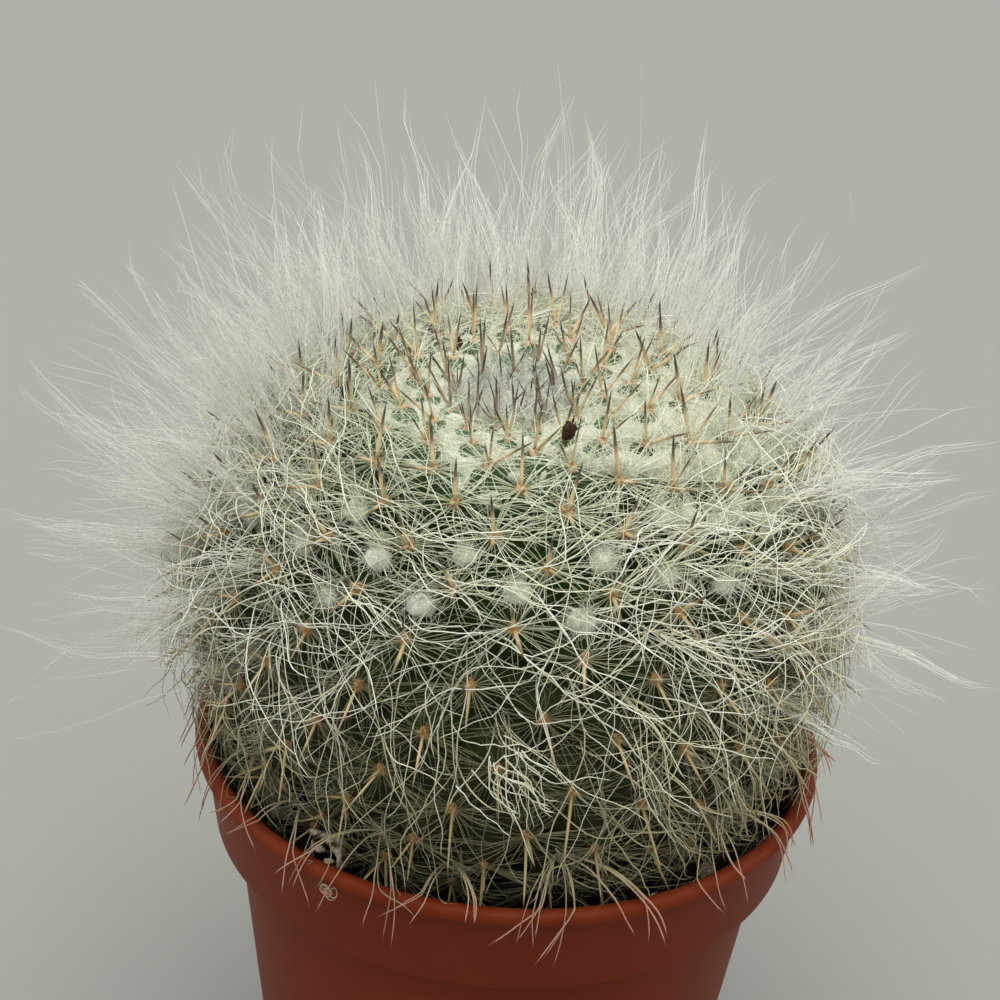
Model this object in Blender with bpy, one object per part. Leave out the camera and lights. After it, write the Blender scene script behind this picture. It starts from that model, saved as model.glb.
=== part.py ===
"""Potted old lady cactus: a young woolly globe cactus in a small round nursery pot.

Units are metres and +Z is up.  The origin is the middle of the pot's flat underside.
The plant has a frame of its own: its origin is the middle of the stem at its widest ring,
its axis runs up through the crown, and it leans a few degrees in the pot.
"""
import math

import bmesh
import bpy
import numpy as np
from mathutils import Matrix, Vector
from mathutils.bvhtree import BVHTree

MM = 0.001
GAP = 0.3 * MM  # clearance between two pieces that touch
SEED = 17

# Pot: a tapering body, a step out to a deep collar, and a rounded lip.
POT_HEIGHT = 48.0 * MM
LIP_RADIUS = 27.5 * MM
LIP_HEIGHT = 1.3 * MM
LIP_ROLL = (math.radians(-60), math.radians(90))  # where the rounded lip starts and ends
LIP_ROLL_STEPS = 4
LIP_INNER_BEVEL = 0.35 * MM
COLLAR_TOP_RADIUS = 26.7 * MM
COLLAR_FOOT_RADIUS = 25.55 * MM
COLLAR_HEIGHT = 9.0 * MM
BODY_TOP_RADIUS = 23.75 * MM
BASE_RADIUS = 18.7 * MM
BASE_EDGE = 0.8 * MM  # height of the slanted edge round the underside
WALL = 0.9 * MM
FLOOR = 1.2 * MM
POT_SIDES = 48
DRAIN_HOLES = 4
DRAIN_RADIUS = 1.9 * MM
DRAIN_CIRCLE = 12.5 * MM

# Soil: it fills the pot to a little below the lip.
SOIL_LEVEL = POT_HEIGHT - 5.5 * MM
SOIL_BUMP = 0.45 * MM
SOIL_BUMP_SPACING = 6.6 * MM
SOIL_RINGS = 11
SOIL_REACH = 1.9 * MM  # the soil keeps clear of the stem over this distance round each point
SOIL_REACH_RINGS = 3
SOIL_REACH_RAYS = 8
SOIL_SIDE_GAP = 0.45 * MM  # from the pot's sloping body, measured level

# Stem: the surface through the tubercles' tips is turned from two flattened quarter curves.
STEM_RADIUS = 26.7 * MM
CROWN_HEIGHT = 20.3 * MM
CROWN_SQUARENESS = 2.4
UNDERSIDE_DEPTH = 24.0 * MM
UNDERSIDE_SQUARENESS = 2.2
DIMPLE_DEPTH = 2.5 * MM
DIMPLE_RADIUS = 6.5 * MM
STEM_CENTRE = Vector((-0.6 * MM, 0.0, POT_HEIGHT + 14.4 * MM))
LEAN_LEFT = math.radians(4.0)
LEAN_FORWARD = math.radians(5.8)
ROOT_LENGTH = 4.5 * MM
BURIED_MARGIN = 1.5 * MM  # tubercles whose tips are lower than this above the soil are left smooth

# Tubercles: each follows the last by the golden angle, and takes more surface as it ages.
GOLDEN_ANGLE = math.radians(137.50776)
FIRST_TURN = math.radians(8.0)
YOUNG_AREA = 3.5 * MM * MM
OLD_AREA = 35.5 * MM * MM
GROWTH_ARC = 18.5 * MM
TUBERCLE_HEIGHT = 3.0 * MM  # added to the youngest tubercles' height as they grow
YOUNG_TUBERCLE_HEIGHT = 0.15 * MM
TUBERCLE_ARC = 10.0 * MM  # distance from the crown's centre over which tubercles reach full height
EDGE_VALLEY = 0.72  # depth of the saddle between two tubercles, as a share of their height
PAD_RADIUS = 0.48 * MM
YOUNG_PAD_RADIUS = 0.32 * MM

# Central spines, one above the other on each areole.
SPINE_LENGTH = 5.5 * MM
SPINE_TILT = math.radians(29.0)
CROWN_SPINE_LENGTH = 4.2 * MM
FIRST_SPINY = 6  # younger areoles are still under the crown's wool
FIRST_PAIR = 24  # younger areoles carry one upright spine
SPINE_RIM_CLEARANCE = 4.5 * MM  # an areole lower than this above the lip has no spine pair

# Soft growth in the axils.  Wool and flowers go by the number of the tubercle under the axil.
WOOLLY = range(101, 137, 2)
FLOWERED = (55, 51)  # the dried flowers are in or beside these axils
FLOWER_HEIGHT = 3.6 * MM
FLOWER_CLEARANCE = 1.0 * MM
# A seated body's foot and rings: each ring's width as a share of its valley's, and its rise.
WOOL_FOOT = 0.36
WOOL_RINGS = ((0.42, 1.3 * MM), (0.30, 2.0 * MM))
SEATED_PEAK = 1.2 * MM  # rise of the closing peak over the last ring, for a ring of full width
FLOWER_FOOT = 0.24
FLOWER_RINGS = ((0.32, 1.2 * MM), (0.50, 2.0 * MM), (0.44, 2.7 * MM), (0.20, 3.2 * MM))
HAIR_RINGS = ((24, 3), (42, 6), (84, 8), (99, 5))  # angle down from the crown, tufts in the ring
HAIR_REACH = 41.5 * MM  # from the stem's centre to the hairs' tips
HAIR_STEPS = 4
HAIR_FOOT = 0.2  # width of a tuft's foot as a share of its valley's
HAIR_SPREAD = 0.07
HAIR_UPTURN = 0.10
HAIR_HUB_RISE = 0.5 * MM
# The ranges a hair's reach, its bend outwards and its bend upwards are drawn from.
HAIR_REACH_RANGE = (0.90, 1.0)
HAIR_CURL_RANGE = (0.02, 0.12)
HAIR_LIFT_RANGE = (-0.05, 0.08)
HAIR_THINNING = (0.42, 0.36, 0.30)  # width at each step as a share of the foot's
HAIR_CLEARANCE = 0.5 * MM  # least distance between a hair and a spine, middle to middle
AXIL_LIFT = 1.8 * GAP  # straight out of a valley, so that the sloping sides clear by about GAP
CROWN_WOOL_RADIUS = 1.75 * MM
CROWN_WOOL_RINGS = ((1.0, 0.0), (0.95, 0.55 * MM), (0.6, 1.05 * MM))  # width and rise
CROWN_WOOL_HEIGHT = 1.25 * MM
CROWN_WOOL_SIDES = 10

# Loose bits on the soil.  A grain: turn round the pot in degrees, distance from its axis, size.
GRIT = ((-152, 21.6 * MM, 0.95 * MM), (-117, 21.8 * MM, 0.8 * MM),
        (-36, 22.0 * MM, 0.9 * MM), (58, 22.2 * MM, 0.8 * MM))
GRIT_ROUGHNESS = (0.8, 1.12)
GRIT_FLATNESS = 0.8
GRIT_BASE = 0.55  # depth of a grain's flat base, as a share of its size
HUSK_TURN = math.radians(-127.0)
HUSK_SPIN = math.radians(107)  # the curl's own turn against the pot's wall
HUSK_DISTANCE = 23.3 * MM
HUSK_CURL_RADIUS = 2.0 * MM
HUSK_SWEEP = math.radians(240)
HUSK_THICKNESS = (0.30 * MM, 0.55 * MM)  # radius of the rolled strip at its ends and middle
HUSK_DRIFT = 1.05 * MM  # sideways, from one end of the curl to the other
HUSK_MARGIN = 0.1 * MM


def clear_scene():
    """Remove whatever the file opens with."""
    for item in list(bpy.data.objects):
        bpy.data.objects.remove(item, do_unlink=True)


def material(name, colour, roughness):
    """A Principled material with one colour and no metal."""
    made = bpy.data.materials.new(name)
    made.use_nodes = True
    shader = made.node_tree.nodes["Principled BSDF"]
    shader.inputs["Base Color"].default_value = (*colour, 1.0)
    shader.inputs["Roughness"].default_value = roughness
    shader.inputs["Metallic"].default_value = 0.0
    return made


def add_object(name, mesh_data, finish, parent=None):
    """Link a mesh as one named piece with its material."""
    piece = bpy.data.objects.new(name, mesh_data)
    bpy.context.collection.objects.link(piece)
    mesh_data.materials.append(finish)
    piece.parent = parent
    return piece


def mesh_from_faces(name, points, faces):
    """A closed mesh whose faces all point out."""
    shape = bmesh.new()
    corners = [shape.verts.new(point) for point in points]
    for face in faces:
        shape.faces.new([corners[index] for index in face])
    bmesh.ops.recalc_face_normals(shape, faces=shape.faces)
    made = bpy.data.meshes.new(name)
    shape.to_mesh(made)
    shape.free()
    return made


def turned_mesh(name, outline, sides):
    """Turn an outline of (radius, height) points round the Z axis; radius 0 closes on the axis."""
    shape = bmesh.new()
    corners = [shape.verts.new((radius, 0.0, height)) for radius, height in outline]
    edges = [shape.edges.new(pair) for pair in zip(corners, corners[1:])]
    bmesh.ops.spin(shape, geom=corners + edges, cent=(0, 0, 0), axis=(0, 0, 1), angle=2 * math.pi,
                   steps=sides, use_merge=True)
    bmesh.ops.remove_doubles(shape, verts=shape.verts, dist=1e-6)
    bmesh.ops.recalc_face_normals(shape, faces=shape.faces)
    made = bpy.data.meshes.new(name)
    shape.to_mesh(made)
    shape.free()
    made.shade_smooth()
    made.set_sharp_from_angle(angle=math.radians(35))
    return made


# ---------------------------------------------------------------- pot and soil

def inner_radius(height):
    """Radius of the pot's inside at a height: the body, then the wider collar."""
    collar_foot = POT_HEIGHT - COLLAR_HEIGHT
    if height < collar_foot + WALL:
        share = height / collar_foot
        return BASE_RADIUS + (BODY_TOP_RADIUS - BASE_RADIUS) * share - WALL
    share = (height - collar_foot) / (COLLAR_HEIGHT - LIP_HEIGHT)
    return COLLAR_FOOT_RADIUS + (COLLAR_TOP_RADIUS - COLLAR_FOOT_RADIUS) * share - WALL


def pot_outline():
    """The pot's wall, from the middle of its underside, up the outside and down the inside."""
    collar_foot = POT_HEIGHT - COLLAR_HEIGHT
    lip_foot = POT_HEIGHT - LIP_HEIGHT
    ledge = collar_foot + WALL
    outside = [(0.0, 0.0), (BASE_RADIUS - BASE_EDGE, 0.0), (BASE_RADIUS, BASE_EDGE),
               (BODY_TOP_RADIUS, collar_foot), (COLLAR_FOOT_RADIUS, collar_foot),
               (COLLAR_TOP_RADIUS, lip_foot)]
    roll_centre = (LIP_RADIUS - LIP_HEIGHT / 2, POT_HEIGHT - LIP_HEIGHT / 2)
    roll = []
    for bend in np.linspace(*LIP_ROLL, LIP_ROLL_STEPS + 1):
        roll.append((roll_centre[0] + LIP_HEIGHT / 2 * math.cos(bend),
                     roll_centre[1] + LIP_HEIGHT / 2 * math.sin(bend)))
    inside = [(inner_radius(lip_foot), POT_HEIGHT - LIP_INNER_BEVEL), (inner_radius(lip_foot), lip_foot),
              (inner_radius(ledge), ledge), (BODY_TOP_RADIUS - WALL, ledge),
              (inner_radius(FLOOR), FLOOR), (0.0, FLOOR)]
    return outside + roll + inside


def drain_cutter():
    """Upright plugs that cut the drain holes round the solid middle of the base."""
    shape = bmesh.new()
    for hole in range(DRAIN_HOLES):
        turn = 2 * math.pi * (hole + 0.5) / DRAIN_HOLES
        middle = (DRAIN_CIRCLE * math.cos(turn), DRAIN_CIRCLE * math.sin(turn), FLOOR / 2)
        place = Matrix.Translation(middle)
        bmesh.ops.create_cone(shape, cap_ends=True, segments=14, radius1=DRAIN_RADIUS,
                              radius2=DRAIN_RADIUS, depth=4 * FLOOR, matrix=place)
    made = bpy.data.meshes.new("drain_cutter")
    shape.to_mesh(made)
    shape.free()
    cutter = bpy.data.objects.new("drain_cutter", made)
    bpy.context.collection.objects.link(cutter)
    cutter.hide_render = True
    cutter.display_type = "WIRE"
    return cutter


def build_pot(finish):
    """The nursery pot, with its drain holes cut."""
    pot = add_object("pot", turned_mesh("pot", pot_outline(), POT_SIDES), finish)
    cut = pot.modifiers.new("drain_holes", "BOOLEAN")
    cut.operation = "DIFFERENCE"
    cut.solver = "EXACT"
    cut.object = drain_cutter()
    return pot


def soil_height(x, y, underside):
    """Height of the soil at a place: gently lumpy, and dished where the stem sits in it."""
    across = 2 * math.pi * x / SOIL_BUMP_SPACING
    along = 2 * math.pi * y / (1.2 * SOIL_BUMP_SPACING)
    lumps = math.sin(across + 1.0) * math.cos(along - 0.6) + 0.6 * math.sin(2 * across - 2 * along)
    level = SOIL_LEVEL + SOIL_BUMP * lumps
    for step in range(SOIL_REACH_RINGS * SOIL_REACH_RAYS + 1):
        away = SOIL_REACH * math.ceil(step / SOIL_REACH_RAYS) / SOIL_REACH_RINGS
        turn = 2 * math.pi * step / SOIL_REACH_RAYS
        start = Vector((x + away * math.cos(turn), y + away * math.sin(turn), FLOOR))
        hit = underside.ray_cast(start, Vector((0, 0, 1)))[0]
        if hit is not None:
            level = min(level, hit.z - GAP)
    return level


def build_soil(finish, underside):
    """Potting soil: it fills the pot's inside with a small clearance, under and round the stem."""
    ledge = POT_HEIGHT - COLLAR_HEIGHT + WALL
    bottom = FLOOR + GAP
    edge = inner_radius(SOIL_LEVEL) - GAP
    side = [(inner_radius(bottom) - SOIL_SIDE_GAP, bottom),
            (inner_radius(ledge - GAP) - SOIL_SIDE_GAP, ledge + GAP),
            (inner_radius(ledge + GAP) - GAP, ledge + GAP)]
    rings = [edge * (1 - step / SOIL_RINGS) for step in range(SOIL_RINGS)]
    points = []
    for radius, height in side:
        for index in range(POT_SIDES):
            turn = 2 * math.pi * index / POT_SIDES
            points.append((radius * math.cos(turn), radius * math.sin(turn), height))
    for radius in rings:
        for index in range(POT_SIDES):
            turn = 2 * math.pi * index / POT_SIDES
            x, y = radius * math.cos(turn), radius * math.sin(turn)
            points.append((x, y, soil_height(x, y, underside)))
    faces = []
    for ring in range(len(side) + len(rings) - 1):
        for index in range(POT_SIDES):
            after = (index + 1) % POT_SIDES
            low, high = ring * POT_SIDES, (ring + 1) * POT_SIDES
            faces.append((low + index, low + after, high + after, high + index))
    top_ring = (len(side) + len(rings) - 1) * POT_SIDES
    centre = len(points)
    points.append((0.0, 0.0, soil_height(0.0, 0.0, underside)))
    bottom_centre = len(points)
    points.append((0.0, 0.0, bottom))
    for index in range(POT_SIDES):
        after = (index + 1) % POT_SIDES
        faces.append((top_ring + index, top_ring + after, centre))
        faces.append((after, index, bottom_centre))
    return add_object("soil", mesh_from_faces("soil", points, faces), finish)


# ---------------------------------------------------------------- stem

def stem_profile(angle):
    """Radius and height of the tubercle tips, at an angle down from the crown's centre."""
    cosine = np.cos(angle)
    upper = cosine >= 0
    power = 2 / np.where(upper, CROWN_SQUARENESS, UNDERSIDE_SQUARENESS)
    radius = STEM_RADIUS * np.abs(np.sin(angle)) ** power
    height = np.where(upper, CROWN_HEIGHT, UNDERSIDE_DEPTH) * np.sign(cosine) * np.abs(cosine) ** power
    dimple = np.where(upper, DIMPLE_DEPTH * np.exp(-(radius / DIMPLE_RADIUS) ** 2), 0.0)
    return radius, height - dimple


def outward(points):
    """Unit normals of the stem's surface at points on it."""
    radius = np.hypot(points[:, 0], points[:, 1])
    upper = points[:, 2] >= 0
    power = np.where(upper, CROWN_SQUARENESS, UNDERSIDE_SQUARENESS)
    height = np.where(upper, CROWN_HEIGHT, UNDERSIDE_DEPTH)
    level = np.clip(np.abs(points[:, 2]) / height, 0, 1)
    side = (radius / STEM_RADIUS) ** (power - 1) / STEM_RADIUS
    rise = np.sign(points[:, 2]) * level ** (power - 1) / height
    round_unit = points[:, :2] / np.maximum(radius, 1e-9)[:, None]
    normal = np.column_stack([round_unit * side[:, None], rise])
    return normal / np.linalg.norm(normal, axis=1)[:, None]


class Lattice:
    """The areoles in their golden-angle spiral, and the valleys between their tubercles."""

    def __init__(self):
        angle = np.linspace(1e-3, math.pi - 1e-3, 1500)
        radius, height = stem_profile(angle)
        step = np.hypot(np.diff(radius), np.diff(height))
        arc = radius[0] + np.concatenate(([0.0], np.cumsum(step)))
        area = YOUNG_AREA + (OLD_AREA - YOUNG_AREA) * (1 - np.exp(-(arc / GROWTH_ARC) ** 2))
        crowding = 2 * math.pi * radius / area
        count = np.concatenate(([0.0], np.cumsum((crowding[1:] + crowding[:-1]) / 2 * step)))
        order = np.arange(int(count[-1])) + 0.5
        turn = FIRST_TURN - GOLDEN_ANGLE * order
        self.angle = np.append(np.interp(order, count, angle), math.pi - 1e-3)
        self.arc = np.append(np.interp(order, count, arc), arc[-1])
        self.turn = np.append(turn, 0.0)
        radius, height = stem_profile(self.angle)
        self.tip = np.column_stack([radius * np.cos(self.turn), radius * np.sin(self.turn), height])
        self.normal = outward(self.tip)
        self.normal[-1] = (0, 0, -1)
        grown_share = 1 - np.exp(-(self.arc / TUBERCLE_ARC) ** 2)
        self.depth = YOUNG_TUBERCLE_HEIGHT + TUBERCLE_HEIGHT * grown_share
        self.world_height = np.array([(plant_matrix() @ Vector(tip)).z for tip in self.tip])
        self.grown = self.world_height > SOIL_LEVEL + BURIED_MARGIN
        self.triangles = self.neighbours()
        self.ring = self.rings()

    def neighbours(self):
        """Triangles between neighbouring areoles: the hull of their directions from the centre."""
        cloud = bmesh.new()
        for angle, turn in zip(self.angle, self.turn):
            level = math.sin(angle)
            cloud.verts.new((level * math.cos(turn), level * math.sin(turn), math.cos(angle)))
        cloud.verts.index_update()
        bmesh.ops.convex_hull(cloud, input=cloud.verts)
        triangles = [[corner.index for corner in face.verts] for face in cloud.faces]
        cloud.free()
        facing = []
        for a, b, c in triangles:
            across = np.cross(self.tip[b] - self.tip[a], self.tip[c] - self.tip[a])
            out = across @ self.normal[[a, b, c]].sum(axis=0) > 0
            facing.append((a, b, c) if out else (a, c, b))
        return facing

    def rings(self):
        """The triangles round each areole, in order round its normal."""
        around = {index: [] for index in range(len(self.tip))}
        for number, corners in enumerate(self.triangles):
            for corner in corners:
                around[corner].append(number)
        for corner, numbers in around.items():
            right, up = self.local_axes(corner)
            middle = [self.tip[list(self.triangles[n])].mean(axis=0) - self.tip[corner] for n in numbers]
            bearing = [math.atan2(m @ up, m @ right) for m in middle]
            around[corner] = [numbers[i] for i in np.argsort(bearing)]
        return around

    def local_axes(self, index):
        """At an areole: the direction across, and the direction up towards the crown."""
        normal = self.normal[index]
        right = np.cross(np.array([0.0, 0.0, 1.0]), normal)
        size = np.linalg.norm(right)
        right = np.array([1.0, 0.0, 0.0]) if size < 1e-6 else right / size
        return right, np.cross(normal, right)

    def valley(self, number):
        """Centre, outward normal and depth of the valley in a triangle of tubercles."""
        corners = list(self.triangles[number])
        normal = self.normal[corners].sum(axis=0)
        normal /= np.linalg.norm(normal)
        depth = (self.depth[corners] * self.grown[corners]).mean()
        return self.tip[corners].mean(axis=0) - normal * depth, normal, depth

    def saddle(self, first, second):
        """Lowest point of the ridge between two neighbouring tubercles."""
        pair = [first, second]
        normal = self.normal[pair].sum(axis=0)
        normal /= np.linalg.norm(normal)
        depth = (self.depth[pair] * self.grown[pair]).mean()
        return self.tip[pair].mean(axis=0) - normal * depth * EDGE_VALLEY

    def pad_point(self, index, number):
        """The corner of an areole's pad that faces the middle of a triangle of tubercles."""
        if not self.grown[index]:
            return self.tip[index]
        middle = self.tip[list(self.triangles[number])].mean(axis=0) - self.tip[index]
        middle -= self.normal[index] * (middle @ self.normal[index])
        size = YOUNG_PAD_RADIUS + (PAD_RADIUS - YOUNG_PAD_RADIUS) * min(1.0, self.arc[index] / TUBERCLE_ARC)
        return self.tip[index] + middle / np.linalg.norm(middle) * size

    def axil(self, index):
        """The valley above a tubercle, on its side towards the crown."""
        up = self.local_axes(index)[1]
        rise = []
        for number in self.ring[index]:
            middle = self.tip[list(self.triangles[number])].mean(axis=0) - self.tip[index]
            rise.append(middle @ up / np.linalg.norm(middle))
        return self.ring[index][int(np.argmax(rise))]

    def spines(self, index):
        """Tips of an areole's central spines, the upper one first."""
        if not self.grown[index] or index < FIRST_SPINY:
            return []
        if self.world_height[index] < POT_HEIGHT + SPINE_RIM_CLEARANCE:
            return []
        tip, normal = self.tip[index], self.normal[index]
        up = self.local_axes(index)[1]
        if index < FIRST_PAIR:
            aim = normal * math.cos(SPINE_TILT / 3) - up * math.sin(SPINE_TILT / 3)
            return [tip + aim * CROWN_SPINE_LENGTH]
        rise = normal * math.cos(SPINE_TILT)
        slant = up * math.sin(SPINE_TILT)
        return [tip + (rise + slant) * SPINE_LENGTH, tip + (rise - slant) * SPINE_LENGTH]


def plant_matrix():
    """The plant's frame: its place and its lean in the pot."""
    lean = Matrix.Rotation(LEAN_FORWARD, 4, "X") @ Matrix.Rotation(-LEAN_LEFT, 4, "Y")
    return Matrix.Translation(STEM_CENTRE) @ lean


def add_spines(lattice, index, ring, points, faces):
    """Close an areole's pad with one or two spikes, or leave it flat."""
    tips = lattice.spines(index)
    if not tips:
        faces.append(tuple(ring))
        return
    if len(tips) == 1:
        parts = [ring]
    else:
        half = len(ring) // 2
        right = lattice.local_axes(index)[0]
        across = [(points[corner] - lattice.tip[index]) @ right for corner in ring]
        start = int(np.argmax(across))
        turned = ring[start:] + ring[:start]
        parts = [turned[:half + 1], turned[half:] + turned[:1]]
    for part, tip in zip(parts, tips):
        peak = len(points)
        points.append(tip)
        for first, second in zip(part, part[1:] + part[:1]):
            faces.append((first, second, peak))


def stem_shape(lattice):
    """Points and faces of the whole stem: tubercles, spines, underside and root."""
    points, faces, known = [], [], {}

    def corner(key, place):
        if key not in known:
            known[key] = len(points)
            points.append(place)
        return known[key]

    root = lattice.tip[-1] - np.array([0.0, 0.0, ROOT_LENGTH])
    for number, corners in enumerate(lattice.triangles):
        outline = []
        for first, second in zip(corners, corners[1:] + corners[:1]):
            if lattice.grown[first]:
                outline.append(corner(("pad", first, number), lattice.pad_point(first, number)))
            elif first == len(lattice.tip) - 1:
                outline.append(corner(("tip", first), root))
            else:
                outline.append(corner(("tip", first), lattice.tip[first]))
            if lattice.grown[first] or lattice.grown[second]:
                key = ("saddle", min(first, second), max(first, second))
                outline.append(corner(key, lattice.saddle(first, second)))
        if len(outline) == 3:
            faces.append(tuple(outline))
            continue
        centre = corner(("valley", number), lattice.valley(number)[0])
        for first, second in zip(outline, outline[1:] + outline[:1]):
            faces.append((first, second, centre))
    for index in np.flatnonzero(lattice.grown):
        numbers = lattice.ring[index]
        ring = [known[("pad", index, number)] for number in numbers]
        for first, second in zip(numbers, numbers[1:] + numbers[:1]):
            shared = set(lattice.triangles[first]) & set(lattice.triangles[second]) - {index}
            other = shared.pop()
            saddle = known[("saddle", min(index, other), max(index, other))]
            faces.append((known[("pad", index, second)], known[("pad", index, first)], saddle))
        add_spines(lattice, index, ring, points, faces)
    return points, faces


# ---------------------------------------------------------------- soft growth

def axil_ring(lattice, number, share, lift):
    """A ring inside a valley, a share of the way from its centre to its brim, lifted clear of it."""
    centre, normal, _ = lattice.valley(number)
    corners = lattice.triangles[number]
    brim = []
    for first, second in zip(corners, corners[1:] + corners[:1]):
        brim.append(lattice.pad_point(first, number))
        brim.append(lattice.saddle(first, second))
    ring = [centre + (point - centre) * share + normal * lift for point in brim]
    return centre, normal, ring


def seated_body(name, lattice, number, share, stages, finish, parent):
    """A body whose foot fits its valley; stages are (width, rise) of the rings above the foot."""
    centre, normal, ring = axil_ring(lattice, number, share, AXIL_LIFT)
    sides = len(ring)
    points = [centre + normal * AXIL_LIFT] + ring
    faces = [(0, 1 + (i + 1) % sides, 1 + i) for i in range(sides)]
    for stage_share, height in stages:
        spread = axil_ring(lattice, number, stage_share, AXIL_LIFT)[2]
        base = sum(spread) / sides
        flat = [point - normal * ((point - base) @ normal) + normal * height for point in spread]
        low = len(points) - sides
        points += flat
        for i in range(sides):
            after = (i + 1) % sides
            faces.append((low + i, low + after, low + sides + after, low + sides + i))
    top = len(points)
    low = top - sides
    points.append(sum(points[low:top]) / sides + normal * stages[-1][0] * SEATED_PEAK)
    faces += [(low + i, low + (i + 1) % sides, top) for i in range(sides)]
    return add_object(name, mesh_from_faces(name, points, faces), finish, parent)


def tuft_strands(lattice, index):
    """An axil's tuft: its foot, and for each hair its foot triangle, middle and path outwards.

    A hair leaves along the valley's normal, a little outwards from the tuft's middle and a
    little upwards, and bends slowly on its way to the hairs' common reach.
    """
    chance = np.random.default_rng((SEED, index))
    centre, normal, ring = axil_ring(lattice, lattice.axil(index), HAIR_FOOT, AXIL_LIFT)
    sides = len(ring)
    hub = sum(ring) / sides + normal * HAIR_HUB_RISE
    strands = []
    for i in range(sides):
        middle = (hub + ring[i] + ring[(i + 1) % sides]) / 3
        spread = (middle - hub) - normal * ((middle - hub) @ normal)
        spread /= np.linalg.norm(spread)
        aim = normal + spread * HAIR_SPREAD + np.array([0.0, 0.0, HAIR_UPTURN])
        aim /= np.linalg.norm(aim)
        length = HAIR_REACH * chance.uniform(*HAIR_REACH_RANGE) - np.linalg.norm(middle)
        lift = np.array([0.0, 0.0, chance.uniform(*HAIR_LIFT_RANGE)])
        curl = spread * chance.uniform(*HAIR_CURL_RANGE) + lift
        run = np.linspace(0, 1, HAIR_STEPS + 1)[:, None] * length
        path = middle + aim * run + curl * run * run / length
        strands.append((i, middle, path))
    return (centre + normal * AXIL_LIFT, hub, ring), strands


def clear_of_spines(lattice, index, paths, clearance):
    """Whether every path that rises near an areole keeps its distance from the central spines."""
    run = np.linspace(0, 1, 13)[:, None]
    spines = []
    for near in range(len(lattice.tip)):
        if np.linalg.norm(lattice.tip[near] - lattice.tip[index]) < 2 * SPINE_LENGTH:
            spines += [lattice.tip[near] + (end - lattice.tip[near]) * run for end in lattice.spines(near)]
    rising = [start + (end - start) * run for path in paths for start, end in zip(path, path[1:])]
    gaps = np.vstack(spines)[:, None] - np.vstack(rising)[None]
    return np.linalg.norm(gaps, axis=2).min() > clearance


def hairs_clear(lattice, index):
    """Whether an axil's whole tuft of hairs stands clear of the spines."""
    paths = [path for _, _, path in tuft_strands(lattice, index)[1]]
    return clear_of_spines(lattice, index, paths, HAIR_CLEARANCE)


def flower_clear(lattice, index):
    """Whether a dried flower in an axil stands clear of the spines."""
    centre, normal, _ = lattice.valley(lattice.axil(index))
    axis = [centre + normal * rise * FLOWER_HEIGHT for rise in (0.3, 1.0)]
    return clear_of_spines(lattice, index, [axis], FLOWER_CLEARANCE)


def nearest_axils(lattice, places, suits):
    """For each (angle, turn) place, the nearest free axil that suits."""
    chosen = []
    taken = set(range(min(WOOLLY), max(WOOLLY) + 1))
    for angle, turn in places:
        near = np.cos(lattice.angle) * math.cos(angle)
        near += np.sin(lattice.angle) * math.sin(angle) * np.cos(lattice.turn - turn)
        order = [int(index) for index in np.argsort(-near)]
        best = next(index for index in order if index not in taken and suits(lattice, index))
        taken.add(best)
        chosen.append(best)
    return chosen


def hair_places():
    """Evenly spaced places round each ring of hair tufts."""
    places = []
    for ring, (angle, tufts) in enumerate(HAIR_RINGS):
        for tuft in range(tufts):
            places.append((math.radians(angle), 2 * math.pi * (tuft + 0.5 * (ring % 2)) / tufts))
    return places


def hair_tuft(name, lattice, index, finish, parent):
    """Six stiff hairs that rise together from one axil and spread as they go."""
    (foot, hub, ring), strands = tuft_strands(lattice, index)
    sides = len(ring)
    points = [foot, hub] + ring
    faces = [(0, 2 + (i + 1) % sides, 2 + i) for i in range(sides)]
    for i, middle, path in strands:
        base = (1, 2 + i, 2 + (i + 1) % sides)
        low = base
        for place, shrink in zip(path[1:-1], HAIR_THINNING):
            high = tuple(len(points) + corner for corner in range(3))
            points += [place + (points[corner] - middle) * shrink for corner in base]
            faces += [(low[j], low[(j + 1) % 3], high[(j + 1) % 3], high[j]) for j in range(3)]
            low = high
        points.append(path[-1])
        faces += [(low[j], low[(j + 1) % 3], len(points) - 1) for j in range(3)]
    return add_object(name, mesh_from_faces(name, points, faces), finish, parent)


def crown_wool(lattice, finish, parent):
    """A low woolly dome over the youngest areoles."""
    sides = CROWN_WOOL_SIDES
    floor = lattice.tip[:FIRST_SPINY, 2].max() + 1.2 * GAP
    points = []
    for share, rise in CROWN_WOOL_RINGS:
        for side in range(sides):
            turn = 2 * math.pi * side / sides
            radius = CROWN_WOOL_RADIUS * share
            points.append((radius * math.cos(turn), radius * math.sin(turn), floor + rise))
    top_ring = len(points) - sides
    points += [(0.0, 0.0, floor), (0.0, 0.0, floor + CROWN_WOOL_HEIGHT)]
    faces = []
    for side in range(sides):
        after = (side + 1) % sides
        faces.append((side, after, top_ring + sides))
        faces.append((top_ring + side, top_ring + after, top_ring + sides + 1))
        for low in range(0, top_ring, sides):
            faces.append((low + side, low + after, low + sides + after, low + sides + side))
    return add_object("crown_wool", mesh_from_faces("crown_wool", points, faces), finish, parent)


# ---------------------------------------------------------------- loose bits

def soil_top_near(soil_tree, x, y, reach):
    """Highest point of the soil within reach of a place."""
    top = 0.0
    for step_x in (-1, 0, 1):
        for step_y in (-1, 0, 1):
            start = Vector((x + step_x * reach, y + step_y * reach, 2 * POT_HEIGHT))
            hit = soil_tree.ray_cast(start, Vector((0, 0, -1)))[0]
            if hit is not None:
                top = max(top, hit.z)
    return top


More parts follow.
